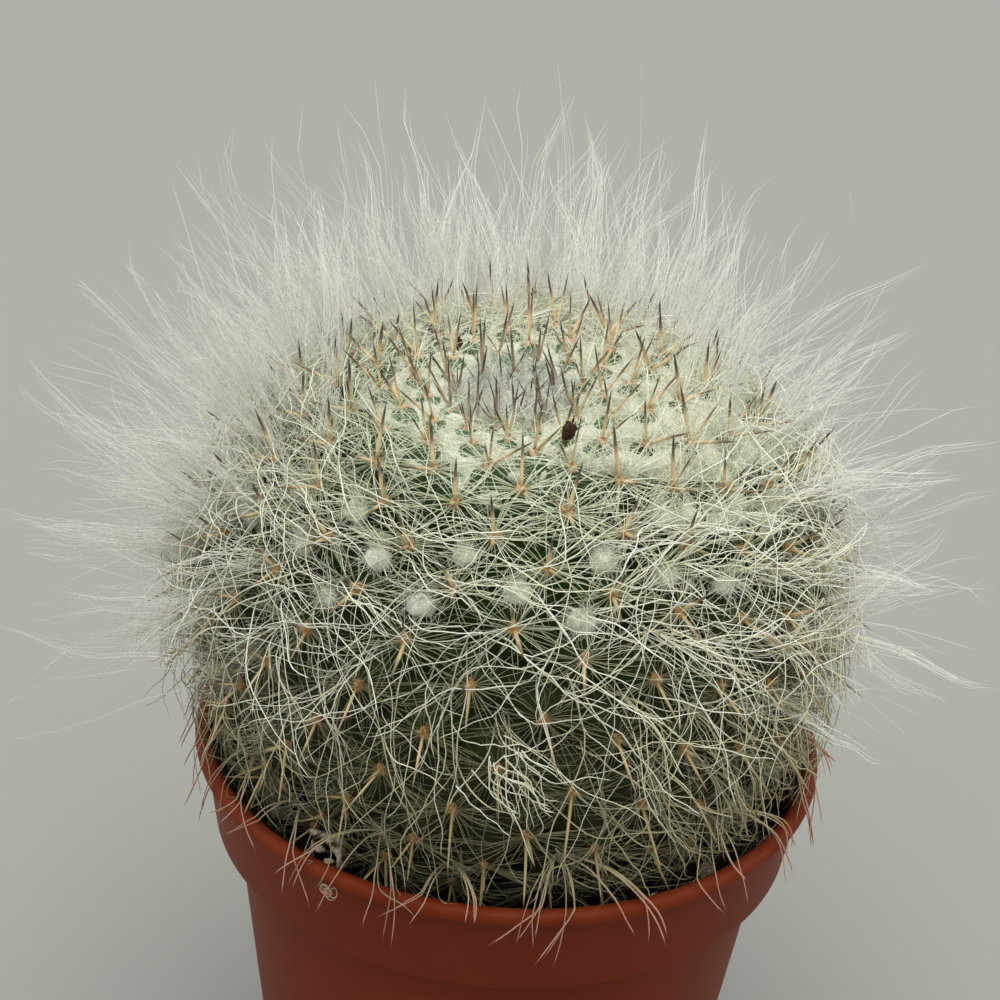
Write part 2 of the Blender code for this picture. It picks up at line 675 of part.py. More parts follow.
def build_grit(soil_tree, finish, chance):
    """Pale angular grains that lie on the soil."""
    for number, (turn, distance, size) in enumerate(GRIT):
        shape = bmesh.new()
        bmesh.ops.create_icosphere(shape, subdivisions=1, radius=size)
        for corner in shape.verts:
            corner.co *= chance.uniform(*GRIT_ROUGHNESS)
            corner.co.z = max(corner.co.z * GRIT_FLATNESS, -GRIT_BASE * size)
        bmesh.ops.recalc_face_normals(shape, faces=shape.faces)
        made = bpy.data.meshes.new("grit")
        lowest = min(corner.co.z for corner in shape.verts)
        shape.to_mesh(made)
        shape.free()
        piece = add_object(f"grit_{number + 1}", made, finish)
        x = distance * math.cos(math.radians(turn))
        y = distance * math.sin(math.radians(turn))
        top = soil_top_near(soil_tree, x, y, size)
        piece.location = (x, y, top - lowest + GAP)


def build_husk(soil_tree, finish):
    """A dry husk curled into two thirds of a ring, lying on the soil by the wall."""
    sides, steps = 6, 12
    points, faces = [], []
    for step in range(steps + 1):
        share = step / steps
        bend = HUSK_SWEEP * share
        thick = HUSK_THICKNESS[0] + (HUSK_THICKNESS[1] - HUSK_THICKNESS[0]) * math.sin(math.pi * share)
        for side in range(sides):
            roll = 2 * math.pi * side / sides
            radius = HUSK_CURL_RADIUS + thick * math.cos(roll)
            drift = HUSK_DRIFT * share + thick * math.sin(roll)
            points.append((radius * math.cos(bend), drift, radius * math.sin(bend)))
    for step in range(steps):
        for side in range(sides):
            after = (side + 1) % sides
            low, high = step * sides, (step + 1) * sides
            faces.append((low + side, low + after, high + after, high + side))
    faces.append(tuple(range(sides)))
    faces.append(tuple(steps * sides + side for side in range(sides)))
    husk = add_object("dry_husk", mesh_from_faces("dry_husk", points, faces), finish)
    turn = HUSK_TURN + HUSK_SPIN
    x, y = HUSK_DISTANCE * math.cos(HUSK_TURN), HUSK_DISTANCE * math.sin(HUSK_TURN)
    turned = [Matrix.Rotation(turn, 3, "Z") @ Vector(point) for point in points]
    rise = max(soil_top_near(soil_tree, x + point.x, y + point.y, HUSK_MARGIN) - point.z
               for point in turned)
    husk.location = (x, y, rise + GAP)
    husk.rotation_euler = (0.0, 0.0, turn)


# ---------------------------------------------------------------- whole object

def world_tree(piece, matrix):
    """A search tree of a piece's mesh in the pot's frame."""
    points = [matrix @ corner.co for corner in piece.data.vertices]
    faces = [tuple(face.vertices) for face in piece.data.polygons]
    return BVHTree.FromPolygons(points, faces)


def build_plant(frame, lattice):
    """The stem and everything that grows from its crown and axils."""
    flesh = material("green_flesh", (0.07, 0.13, 0.06), 0.5)
    wool = material("white_wool", (0.80, 0.80, 0.74), 0.95)
    hair = material("white_hair", (0.82, 0.82, 0.76), 0.6)
    dried = material("dried_flower", (0.10, 0.045, 0.02), 0.85)
    points, faces = stem_shape(lattice)
    stem = add_object("cactus_stem", mesh_from_faces("cactus_stem", points, faces), flesh, frame)
    crown_wool(lattice, wool, frame)
    for number, index in enumerate(WOOLLY):
        name = f"wool_tuft_{number + 1:02d}"
        seated_body(name, lattice, lattice.axil(index), WOOL_FOOT, WOOL_RINGS, wool, frame)
    beside = [(lattice.angle[index], lattice.turn[index]) for index in FLOWERED]
    for number, index in enumerate(nearest_axils(lattice, beside, flower_clear)):
        name = f"dried_flower_{number + 1}"
        seated_body(name, lattice, lattice.axil(index), FLOWER_FOOT, FLOWER_RINGS, dried, frame)
    for number, index in enumerate(nearest_axils(lattice, hair_places(), hairs_clear)):
        hair_tuft(f"hair_tuft_{number + 1:02d}", lattice, index, hair, frame)
    return stem


def main():
    clear_scene()
    terracotta = material("terracotta_plastic", (0.22, 0.05, 0.025), 0.5)
    earth = material("potting_soil", (0.018, 0.013, 0.010), 0.95)
    pale_grit = material("pale_grit", (0.62, 0.58, 0.48), 0.9)
    straw = material("straw_husk", (0.55, 0.42, 0.25), 0.8)
    frame = bpy.data.objects.new("plant_frame", None)
    bpy.context.collection.objects.link(frame)
    frame.matrix_world = plant_matrix()
    build_pot(terracotta)
    stem = build_plant(frame, Lattice())
    soil = build_soil(earth, world_tree(stem, plant_matrix()))
    soil_tree = world_tree(soil, Matrix.Identity(4))
    build_grit(soil_tree, pale_grit, np.random.default_rng(SEED + 1))
    build_husk(soil_tree, straw)


main()
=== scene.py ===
"""Potted old lady cactus, dressed for viewing.

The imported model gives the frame.  The plant's surfaces are worked out again here in finer form
from the same measures, in the plant's own frame, and are then set into the pot by its lean.
Lengths are in metres, and a strand is any spine, hair or wool fibre.
"""
import math

import bmesh
import bpy
import numpy as np
from mathutils import Matrix, Vector


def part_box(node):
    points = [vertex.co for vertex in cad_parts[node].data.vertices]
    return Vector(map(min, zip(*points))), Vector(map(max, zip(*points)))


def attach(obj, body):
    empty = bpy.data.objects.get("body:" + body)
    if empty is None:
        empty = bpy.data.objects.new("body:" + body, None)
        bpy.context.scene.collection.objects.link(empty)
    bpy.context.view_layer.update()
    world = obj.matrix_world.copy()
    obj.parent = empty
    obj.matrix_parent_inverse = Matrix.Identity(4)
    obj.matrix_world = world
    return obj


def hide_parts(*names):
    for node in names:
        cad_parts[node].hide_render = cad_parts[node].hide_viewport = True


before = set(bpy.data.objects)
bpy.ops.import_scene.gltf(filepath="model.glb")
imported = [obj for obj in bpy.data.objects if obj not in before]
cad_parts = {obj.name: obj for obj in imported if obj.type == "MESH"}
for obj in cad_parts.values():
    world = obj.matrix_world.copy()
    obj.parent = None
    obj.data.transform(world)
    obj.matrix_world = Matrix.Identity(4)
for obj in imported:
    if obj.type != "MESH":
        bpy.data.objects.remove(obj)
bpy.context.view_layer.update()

MM = 0.001
SEED = 2024
UV_NAME = "OFBake"

# Pot and soil
POT_HEIGHT = 48.0 * MM
LIP_RADIUS = 27.5 * MM
LIP_HEIGHT = 1.3 * MM
LIP_WIDTH = 1.25 * MM
COLLAR_TOP_RADIUS = 26.7 * MM
COLLAR_FOOT_RADIUS = 25.55 * MM
COLLAR_HEIGHT = 9.0 * MM
BODY_TOP_RADIUS = 23.75 * MM
BASE_RADIUS = 18.7 * MM
WALL = 0.9 * MM
FLOOR = 1.2 * MM
DRAIN_HOLES = 4
DRAIN_RADIUS = 1.9 * MM
DRAIN_CIRCLE = 12.5 * MM
POT_COLUMNS = 144
DRAIN_COLUMNS = 28
SHARP_EDGE = math.radians(50)
SOIL_LEVEL = POT_HEIGHT - 5.5 * MM
SOIL_EDGE = 24.8 * MM
SOIL_FOOT = 1.6 * MM
SOIL_FOOT_RADIUS = 17.8 * MM
SOIL_COLUMNS = 180
CRUMBS = 700
SOIL_FIBRES = 90

# Stem
STEM_RADIUS = 26.7 * MM
CROWN_HEIGHT = 20.3 * MM
CROWN_SQUARENESS = 2.4
UNDERSIDE_DEPTH = 24.0 * MM
UNDERSIDE_SQUARENESS = 2.2
DIMPLE_DEPTH = 2.5 * MM
DIMPLE_RADIUS = 6.5 * MM
STEM_CENTRE = Vector((-0.6 * MM, 0.0, POT_HEIGHT + 14.4 * MM))
LEAN_LEFT = math.radians(4.0)
LEAN_FORWARD = math.radians(5.8)
GOLDEN_ANGLE = math.radians(137.50776)
FIRST_TURN = math.radians(8.0)
YOUNG_AREA = 3.5 * MM * MM
OLD_AREA = 35.5 * MM * MM
GROWTH_ARC = 18.5 * MM
TUBERCLE_HEIGHT = 3.0 * MM
YOUNG_TUBERCLE_HEIGHT = 0.15 * MM
TUBERCLE_ARC = 10.0 * MM
STEM_COLUMNS = 208

# Spines, wool and hair.  Areoles are numbered from the youngest, in the middle of the crown.
FELT_FIRST = 6
RADIAL_FIRST = 3
RADIALS_EACH = 42
WOOL_FILL_GRID = (84, 180)
WOOLLY = (100, 138)
UPPER_WOOL = (3, 72)
DOWN_NUMBERS = (3, 225)
CROWN_FIBRES = 1300
CROWN_WOOL_RADIUS = 4.9 * MM
HALO_FIRST = 68
HALO_LOWEST = 53 * MM
LOCK_STATIONS = 33
HAIR_REACH = 45.5 * MM
SHORT_REACH = 31 * MM
DRAPED_FIRST = 70
COMBED_HAIRS = 330
TANGLE = 173
TANGLED_HAIRS = 22
RIM_STEMS = 62
RIM_ROOTS = (48.5 * MM, 53.5 * MM)
CURLS = 7
CURL_TURN = math.radians(-118.0)
HUSK_CLEARANCE = 3.1 * MM

# Small remains.  A flower has its number, its length and its head's radius in millimetres, and
# how far it leans to the right and upwards.
FLOWERS = ((1, 5.0, 0.55, 0.25, 0.10), (2, 2.2, 0.42, 0.25, 0.10))
SPECK_PLACE = np.array([0.9, 17.9, 18.6]) * MM

# Studio and camera.  A lamp has its name, place, size, power and colour.
LAMPS = (("key", (-0.1, -0.95, 3.1), 2.4, 77.0, (1.0, 1.0, 0.95)),
         ("right", (2.6, 0.6, 1.7), 2.0, 18.0, (1.0, 0.92, 0.76)),
         ("left", (-2.6, 0.5, 1.3), 2.0, 12.0, (1.0, 0.99, 0.94)))
SKY_COLOUR = (0.96, 1.0, 0.98, 1.0)
SKY_STRENGTH = 0.64
GROUND_COLOUR = (0.312, 0.316, 0.297)
GROUND_HALF = 6.0
CAMERA_DISTANCE = 0.225
CAMERA_ELEVATION = math.radians(33.2)
CAMERA_ROLL = math.radians(4.65)
CAMERA_LENS = 91.08
SENSOR = 36.0
AIM_ACROSS = math.radians(0.589)
AIM_DOWN = math.radians(5.026)

LEAN_ROWS = np.array(Matrix.Rotation(LEAN_FORWARD, 3, "X") @ Matrix.Rotation(-LEAN_LEFT, 3, "Y"))
CENTRE_ROW = np.array(STEM_CENTRE)
WORLD_UP = LEAN_ROWS.T @ np.array([0.0, 0.0, 1.0])  # seen from the plant's frame
TO_CAMERA = LEAN_ROWS.T @ np.array([0.0, -1.0, 0.0])
CROWN_PLACE = tuple(LEAN_ROWS @ np.array([0.0, 0.0, CROWN_HEIGHT - DIMPLE_DEPTH]) + CENTRE_ROW)


def unit(vectors):
    """Each vector divided by its length."""
    return vectors / np.maximum(np.linalg.norm(vectors, axis=-1, keepdims=True), 1e-12)


def smooth(low, high, values):
    """0 below low, 1 above high, and an S-shaped rise between them."""
    share = np.clip((values - low) / (high - low), 0, 1)
    return share * share * (3 - 2 * share)


def seat(points):
    """Plant frame to pot frame: turned by the lean, then moved to the stem's centre."""
    return points @ LEAN_ROWS.T + CENTRE_ROW


def unseat(points):
    """Pot frame to plant frame."""
    return (points - CENTRE_ROW) @ LEAN_ROWS


def whole_turn(count):
    """Evenly spaced bearings once round."""
    return 2 * np.pi * np.arange(count) / count


def about(distance, bearing, height):
    """Points at a distance from an upright middle line, a bearing round it and a height."""
    x, y = distance * np.cos(bearing), distance * np.sin(bearing)
    return np.stack(np.broadcast_arrays(x, y, height), axis=-1)


def ball(rows, columns, first, last):
    """Rings of points on a unit ball, from one angle down from its top to another."""
    angle = np.linspace(first, last, rows)[:, None]
    return about(np.sin(angle), whole_turn(columns), np.cos(angle))


def box_middle(node):
    """The middle of a CAD node's box."""
    low, high = (np.array(corner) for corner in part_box(node))
    return (low + high) / 2


# ---------------------------------------------------------------- mesh making

class Shape:
    """Points, faces and a UV place for every face corner, gathered from skins and strands."""

    def __init__(self):
        self.points, self.corners, self.sizes, self.places = [], [], [], []
        self.count = 0

    def add(self, points, corners, sizes, places):
        """Adds points (n, 3), the faces' corners in one row, the faces' sizes and the UV places."""
        self.points.append(points)
        self.corners.append(corners + self.count)
        self.sizes.append(sizes)
        self.places.append(places)
        self.count += len(points)

    def skin(self, rings, first, last, across=(0.0, 1.0), along=(0.0, 1.0)):
        """Closed rings of points (rings, columns, 3), with a fan to a point at either end."""
        rows, columns = rings.shape[:2]
        row, column = np.meshgrid(np.arange(rows - 1), np.arange(columns), indexing="ij")
        after = (column + 1) % columns
        quads = np.stack([row * columns + column, row * columns + after,
                          (row + 1) * columns + after, (row + 1) * columns + column], axis=-1)
        u = np.stack([column, column + 1, column + 1, column], axis=-1) / columns
        v = np.stack([row, row, row + 1, row + 1], axis=-1) / (rows - 1)
        corners = [quads]
        places = [np.stack([across[0] + u * (across[1] - across[0]),
                            along[0] + v * (along[1] - along[0])], axis=-1)]
        column, after, pole = np.arange(columns), after[0], np.full(columns, rows * columns)
        top = (rows - 1) * columns
        u = np.stack([column + 0.5, column + 1, column], axis=-1) / columns
        for fan, v in (([pole, after, column], [0.0, 0.01, 0.01]),
                       ([pole + 1, top + column, top + after], [1.0, 0.99, 0.99])):
            corners.append(np.stack(fan, axis=-1))
            places.append(np.stack(np.broadcast_arrays(u, v), axis=-1))
        self.add(np.concatenate([rings.reshape(-1, 3), [first, last]]),
                 np.concatenate([each.reshape(-1) for each in corners]),
                 np.repeat([4, 3], [quads.size // 4, 2 * columns]),
                 np.concatenate([each.reshape(-1, 2) for each in places]))

    def strands(self, path, radius, tone, sides=3):
        """Closed tubes along many paths at once.

        path is (strands, stations, 3), radius (strands, stations) and tone (strands,).  A ring
        stands square to the path at each station but the last, where the sides meet in a tip.
        A flat cap closes the base.  U runs along a strand and V is its tone.
        """
        count, stations = path.shape[:2]
        along = unit(np.gradient(path, axis=1))
        chord = unit(path[:, -1] - path[:, 0])
        lead = np.eye(3)[np.argmin(np.abs(chord), axis=1)]
        side = unit(np.cross(along, lead[:, None]))
        lift = np.cross(side, along)
        turn = whole_turn(sides)[:, None]
        ring = side[:, :-1, None] * np.cos(turn) + lift[:, :-1, None] * np.sin(turn)
        ring = path[:, :-1, None] + ring * radius[:, :-1, None, None]
        points = np.concatenate([ring.reshape(count, -1, 3), path[:, -1:]], axis=1)

        station, s = np.meshgrid(np.arange(stations - 2), np.arange(sides), indexing="ij")
        after = (s + 1) % sides
        quads = np.stack([station * sides + s, (station + 1) * sides + s,
                          (station + 1) * sides + after, station * sides + after], axis=-1)
        quad_u = np.stack([station, station + 1, station + 1, station], axis=-1).reshape(-1)
        quad_v = np.stack([s, s, s + 1, s + 1], axis=-1).reshape(-1)
        last, s = (stations - 2) * sides, np.arange(sides)
        tips = np.stack([last + s, np.full(sides, last + sides), last + (s + 1) % sides], axis=-1)
        tip_u = np.tile([stations - 2, stations - 1, stations - 2], sides)
        tip_v = np.stack([s, s + 0.5, s + 1], axis=-1).reshape(-1)
        corners = np.concatenate([quads.reshape(-1), tips.reshape(-1), s])
        sizes = np.repeat([4, 3, sides], [quads.size // 4, sides, 1])
        u = np.concatenate([quad_u, tip_u, 0.2 * (s % 2)]) / (stations - 1)
        v = np.concatenate([quad_v, tip_v, s]) / sides * 0.04
        v = v[None] + 0.94 * tone[:, None] + 0.01
        places = np.stack(np.broadcast_arrays(u[None], v), axis=-1)

        offset = points.shape[1] * np.arange(count)[:, None]
        self.add(points.reshape(-1, 3), (corners[None] + offset).reshape(-1),
                 np.tile(sizes, count), places.reshape(-1, 2))

    def piece(self, name, finish, nodes=(), seated=True, smoothed=True, outwards=False):
        """Makes the piece, which rides with the object and may stand for some CAD nodes.

        Seated points go from the plant's frame to the pot's.  Outwards turns every face out.
        """
        points = np.concatenate(self.points)
        if seated:
            points = seat(points)
        sizes = np.concatenate(self.sizes)
        corners = np.concatenate(self.corners)
        mesh = bpy.data.meshes.new(name)
        mesh.vertices.add(len(points))
        mesh.vertices.foreach_set("co", points.astype(np.float32).ravel())
        mesh.loops.add(len(corners))
        mesh.loops.foreach_set("vertex_index", corners.astype(np.int32))
        mesh.polygons.add(len(sizes))
        starts = np.concatenate(([0], np.cumsum(sizes)[:-1]))
        mesh.polygons.foreach_set("loop_start", starts.astype(np.int32))
        mesh.update(calc_edges=True)
        layer = mesh.uv_layers.new(name=UV_NAME)
        layer.data.foreach_set("uv", np.concatenate(self.places).astype(np.float32).ravel())
        mesh.polygons.foreach_set("use_smooth", np.full(len(sizes), smoothed))
        mesh.materials.append(finish)
        if outwards:
            work = bmesh.new()
            work.from_mesh(mesh)
            bmesh.ops.recalc_face_normals(work, faces=work.faces)
            work.to_mesh(mesh)
            work.free()
        made = bpy.data.objects.new(name, mesh)
        bpy.context.scene.collection.objects.link(made)
        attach(made, "root")
        if nodes:
            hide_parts(*nodes)
        return made


def strand_piece(name, finish, slot, *groups, nodes=(), seated=True, sides=3):
    """One piece made of groups of strands, each a (path, radius, tone)."""
    shape = Shape()
    for group in groups:
        shape.strands(*group, sides=sides)
    return shape.piece(name, finish, nodes, seated=seated)


def tapered(radius, t, loss, power=1):
    """Strand radii from millimetres at the root, with a loss by a power of the way along."""
    return radius[:, None] * (1 - loss * t ** power) * MM


def only(kept, strands):
    """The strands (path, radius, tone) that are kept."""
    return [each[kept] for each in strands]


# ---------------------------------------------------------------- finishes

class Wire:
    """A node's output in a material, with the arithmetic that the finishes use."""

    def __init__(self, finish, socket):
        self.finish, self.socket = finish, socket

    def maths(self, operation, *values):
        return self.finish.add("ShaderNodeMath", {"operation": operation}, dict(enumerate(values)))

    def __add__(self, other):
        return self.maths("ADD", self, other)

    def __sub__(self, other):
        return self.maths("SUBTRACT", self, other)

    def __mul__(self, other):
        return self.maths("MULTIPLY", self, other)

    def __rsub__(self, other):
        return self.maths("SUBTRACT", other, self)

    __radd__, __rmul__ = __add__, __mul__

    def clamp(self):
        return self.finish.add("ShaderNodeClamp", {}, {0: self})

    def between(self, low, high):
        """0 at low and 1 at high, held at both ends."""
        return ((self - low) * (1 / (high - low))).clamp()


class Finish:
    """A Principled material; plain values go straight on its own sockets."""

    def __init__(self, name, **plain):
        self.made = bpy.data.materials.new(name)
        self.made.use_nodes = True
        self.tree = self.made.node_tree
        self.shader = self.tree.nodes["Principled BSDF"]
        self.finish(**plain)

    def add(self, kind, settings, values, out=0):
        """A node with its settings made first, then its sockets fed."""
        node = self.tree.nodes.new(kind)
        for key, value in settings.items():
            if key == "stops":
                while len(node.color_ramp.elements) < len(value):
                    node.color_ramp.elements.new(1.0)
                for element, (place, colour) in zip(node.color_ramp.elements, value):
                    element.position, element.color = place, (*colour, 1.0)
            else:
                setattr(node, key, value)
        for key, value in values.items():
            self.feed(node.inputs[key], value)
        return Wire(self, node.outputs[out])

    def feed(self, socket, value):
        if isinstance(value, Wire):
            self.tree.links.new(value.socket, socket)
        elif isinstance(value, tuple) and len(value) == 3 and socket.type == "RGBA":
            socket.default_value = (*value, 1.0)
        else:
            socket.default_value = value

    def place(self):
        """Object coordinates, in metres."""
        return self.add("ShaderNodeTexCoord", {}, {}, out=3)

    def from_crown(self):
        """Distance from the middle of the crown, in metres."""
        return self.add("ShaderNodeVectorMath", {"operation": "DISTANCE"},
                        {0: self.place(), 1: CROWN_PLACE}, out=1)

    def parts(self, vector, out):
        return self.add("ShaderNodeSeparateXYZ", {}, {0: vector}, out=out)

    def strand(self):
        """The place along a strand, and the strand's tone."""
        uv = self.add("ShaderNodeUVMap", {"uv_map": UV_NAME}, {})
        return self.parts(uv, 0), self.parts(uv, 1)

    def noise(self, vector, scale, detail=3.0, rough=0.5):
        return self.add("ShaderNodeTexNoise", {},
                        {"Vector": vector, "Scale": scale, "Detail": detail, "Roughness": rough})

    def ramp(self, factor, *stops):
        return self.add("ShaderNodeValToRGB", {"stops": stops}, {0: factor})

    def mix(self, factor, one, other):
        """Colours mixed by a factor from one to the other."""
        return self.add("ShaderNodeMix", {"data_type": "RGBA", "blend_type": "MIX"},
                        {0: factor, 6: one, 7: other}, out=2)

    def bump(self, height, strength, distance):
        return self.add("ShaderNodeBump", {},
                        {"Strength": strength, "Distance": distance, "Height": height})

    def finish(self, **inputs):
        """Feeds the shader's own sockets, and gives the material."""
        for socket, value in inputs.items():
            self.feed(self.shader.inputs[socket.replace("_", " ")], value)
        return self.made


def terracotta_plastic():
    """Moulded brick-red plastic: faint clouding, a dusty bloom and a lighter worn lip."""
    f = Finish("terracotta_plastic", Specular_IOR_Level=0.10)
    place = f.place()
    height = f.parts(place, 2)
    cloud = f.noise(place, 60.0, 4.0)
    fine = f.noise(place, 1400.0, 2.0)
    colour = f.mix(cloud.between(0.3, 0.7), (0.142, 0.018, 0.004), (0.174, 0.024, 0.006))
    worn = height.between(POT_HEIGHT - 0.9 * MM, POT_HEIGHT)
    worn = worn * f.noise(place, 260.0).between(0.35, 0.6)
    colour = f.mix(worn * 0.18, colour, (0.30, 0.085, 0.040))
    dust = f.noise(place, 190.0, 5.0).between(0.55, 0.8) * 0.08
    colour = f.mix(dust, colour, (0.24, 0.12, 0.075))
    rough = 0.46 + cloud * 0.14 + dust * 0.5
    return f.finish(Base_Color=colour, Roughness=rough, Normal=f.bump(fine, 0.25, 0.04 * MM))


def damp_soil():
    """Dark peaty mix: near-black crumbs with brown fibres and a few pale mineral specks."""
    f = Finish("damp_soil", Specular_IOR_Level=0.25)
    place = f.place()
    crumbs = f.noise(place, 900.0, 6.0, 0.65)
    colour = f.ramp(crumbs, (0.30, (0.006, 0.004, 0.003)), (0.52, (0.020, 0.014, 0.010)),
                    (0.68, (0.055, 0.037, 0.024)))
    specks = f.noise(place, 2600.0, 1.0).between(0.70, 0.74)
    colour = f.mix(specks * 0.6, colour, (0.22, 0.18, 0.13))
    return f.finish(Base_Color=colour, Roughness=0.86 + crumbs * 0.12,
                    Normal=f.bump(crumbs, 0.9, 0.5 * MM))


def flesh():
    """Waxy green skin with pale pinpricks, paler in the crown and corkier towards the soil."""
    f = Finish("flesh", Specular_IOR_Level=0.1)
    place = f.place()
    height = f.parts(place, 2)
    cloud = f.noise(place, 180.0, 4.0)
    dots = f.add("ShaderNodeTexVoronoi", {}, {"Vector": place, "Scale": 2600.0})
    colour = f.mix(cloud.between(0.3, 0.7), (0.011, 0.024, 0.004), (0.022, 0.042, 0.008))
    colour = f.mix((1 - dots.between(0.06, 0.16)) * 0.3, colour, (0.10, 0.14, 0.07))
    old = 1 - (height + (cloud - 0.5) * (10 * MM)).between(48 * MM, 76 * MM)
    colour = f.mix(old * 0.75, colour, (0.032, 0.025, 0.011))
    young = 1 - f.from_crown().between(7 * MM, 15 * MM)
    colour = f.mix(young * 0.9, colour, (0.13, 0.22, 0.12))
    return f.finish(Base_Color=colour, Roughness=0.42 + cloud * 0.25,
                    Normal=f.bump(f.noise(place, 1800.0, 3.0), 0.35, 0.12 * MM))


def strand_finish(name, tones, base, base_ends, rough=0.55):
    """A strand coloured by its tone, through evenly spaced tones, over a base of its own."""
    f = Finish(name)
    along, tone = f.strand()
    places = [index / (len(tones) - 1) for index in range(len(tones))]
    colour = f.ramp(tone, *zip(places, tones))
    colour = f.mix((1 - along.between(0.0, base_ends)), colour, base)
    return f.finish(Base_Color=colour, Roughness=rough)


def rim_hair_finish():
    """A hair that is straw where it rises from the plant and pink where it hangs against the pot, a
    painted reflection of the pot's red.
    """
    f = Finish("rim_hair")
    along, tone = f.strand()
    # The pink on the hanging part is painted reflected light from the red pot.
    pot_reflection_pink = f.mix(tone, (0.40, 0.16, 0.10), (0.60, 0.33, 0.24))
    colour = f.mix(along.between(0.45, 0.78), (0.46, 0.39, 0.24), pot_reflection_pink)
    return f.finish(Base_Color=colour, Roughness=0.55)


def central_spine():
    """Amber at the base and near-black at the tip; straw when old, and greyer in the crown."""
    f = Finish("central_spine", Specular_IOR_Level=0.45)
    along, tone = f.strand()
    young = f.ramp(along, (0.0, (0.62, 0.37, 0.15)), (0.20, (0.84, 0.65, 0.37)),
                   (0.44, (0.76, 0.58, 0.35)), (0.60, (0.20, 0.14, 0.10)),
                   (0.76, (0.055, 0.045, 0.040)))
    old = f.ramp(along, (0.0, (0.44, 0.24, 0.08)), (0.22, (0.42, 0.33, 0.15)),
                 (0.75, (0.42, 0.33, 0.17)), (0.95, (0.33, 0.16, 0.10)))
    inner = f.ramp(along, (0.0, (0.52, 0.42, 0.30)), (0.34, (0.30, 0.23, 0.165)),
                   (0.62, (0.06, 0.05, 0.04)))
    young = f.mix(1 - f.from_crown().between(4.5 * MM, 9 * MM), young, inner)
    return f.finish(Base_Color=f.mix(tone.clamp(), old, young), Roughness=0.38)


def felt():
    """Areole felt: short amber wool, paler in the crown, with a mottled nap."""
    f = Finish("areole_felt", Specular_IOR_Level=0.2, Sheen_Weight=0.3)
    place = f.place()
    nap = f.noise(place, 5200.0, 3.0)
    colour = f.mix(nap.between(0.35, 0.65), (0.30, 0.125, 0.034), (0.54, 0.30, 0.105))
    young = 1 - f.from_crown().between(8 * MM, 22 * MM)
    colour = f.mix(young * 0.8, colour, (0.74, 0.56, 0.36))
    return f.finish(Base_Color=colour, Roughness=0.9, Normal=f.bump(nap, 0.8, 0.2 * MM))


def matted_wool():
    """Cream wool felted together: paler on its lumps, with a fibrous nap, and paler on the right as
    painted light from that side.
    """
    f = Finish("matted_wool", Specular_IOR_Level=0.1, Sheen_Weight=0.2)
    place = f.place()
    clump = f.noise(place, 700.0, 5.0, 0.6)
    nap = f.noise(place, 4200.0, 3.0)
    colour = f.mix(clump.between(0.3, 0.7), (0.82, 0.83, 0.68), (0.95, 0.93, 0.80))
    # The grey-green nap is weaker towards the right: painted light from the right side.
    nap_and_side_light = 0.45 - 0.33 * f.parts(place, 0).between(2 * MM, 14 * MM)
    colour = f.mix((1 - nap.between(0.3, 0.55)) * nap_and_side_light, colour, (0.56, 0.62, 0.48))
    return f.finish(Base_Color=colour, Roughness=0.95, Normal=f.bump(nap, 0.8, 0.25 * MM))


def dead_petals():
    """Shrivelled flower remains: dark brown with paler creases, papery at the foot."""
    f = Finish("dead_petals", Specular_IOR_Level=0.25)
    place = f.place()
    along, tone = f.strand()
    creases = f.noise(place, 3200.0, 4.0, 0.6)
    dark = f.mix(creases.between(0.35, 0.7), (0.016, 0.006, 0.004), (0.10, 0.042, 0.020))
    paper = f.mix(creases.between(0.3, 0.7), (0.50, 0.33, 0.19), (0.70, 0.55, 0.38))
    head = (along.between(0.45, 0.62) + tone.between(0.6, 0.7)).clamp()
    return f.finish(Base_Color=f.mix(head, paper, dark), Roughness=0.8,
                    Normal=f.bump(creases, 0.8, 0.2 * MM))


def streaked(name, pattern, rough, bump, *stops):
    """A dry finish coloured by one noise (scale, detail, roughness), which also raises it."""
    f = Finish(name, Specular_IOR_Level=0.3)
    streaks = f.noise(f.place(), *pattern)
    return f.finish(Base_Color=f.ramp(streaks, *stops), Roughness=rough,
                    Normal=f.bump(streaks, *bump))


def husk_finish():
    """Dry straw: cream with brown streaks."""
    return streaked("dry_husk", (1150.0, 4.0), 0.6, (0.6, 0.2 * MM), (0.40, (0.12, 0.07, 0.04)),
                    (0.47, (0.58, 0.46, 0.30)), (0.57, (0.92, 0.85, 0.70)))


def grit_finish():
    """Pale mineral grain: off-white, stained brown in its pores."""
    return streaked("grit", (2400.0, 5.0, 0.65), 0.85, (0.9, 0.3 * MM), (0.34, (0.16, 0.11, 0.07)),
                    (0.50, (0.52, 0.45, 0.34)), (0.66, (0.74, 0.70, 0.60)))


# ---------------------------------------------------------------- pot and soil

def rounded(outline, steps=4):
    """An outline of (radius, height, rounding) with each corner replaced by a quadratic curve.

    The curve starts and ends a rounding away from the corner, along the two edges.
    """
    points = np.array([corner[:2] for corner in outline])
    made = [points[0]]
    for index in range(1, len(outline) - 1):
        here, reach = points[index], outline[index][2]
        start = here + unit(points[index - 1] - here) * reach
        end = here + unit(points[index + 1] - here) * reach
        for share in np.linspace(0, 1, steps):
            rest = 1 - share
            made.append(rest ** 2 * start + 2 * share * rest * here + share ** 2 * end)
    made.append(points[-1])
    return np.array(made)


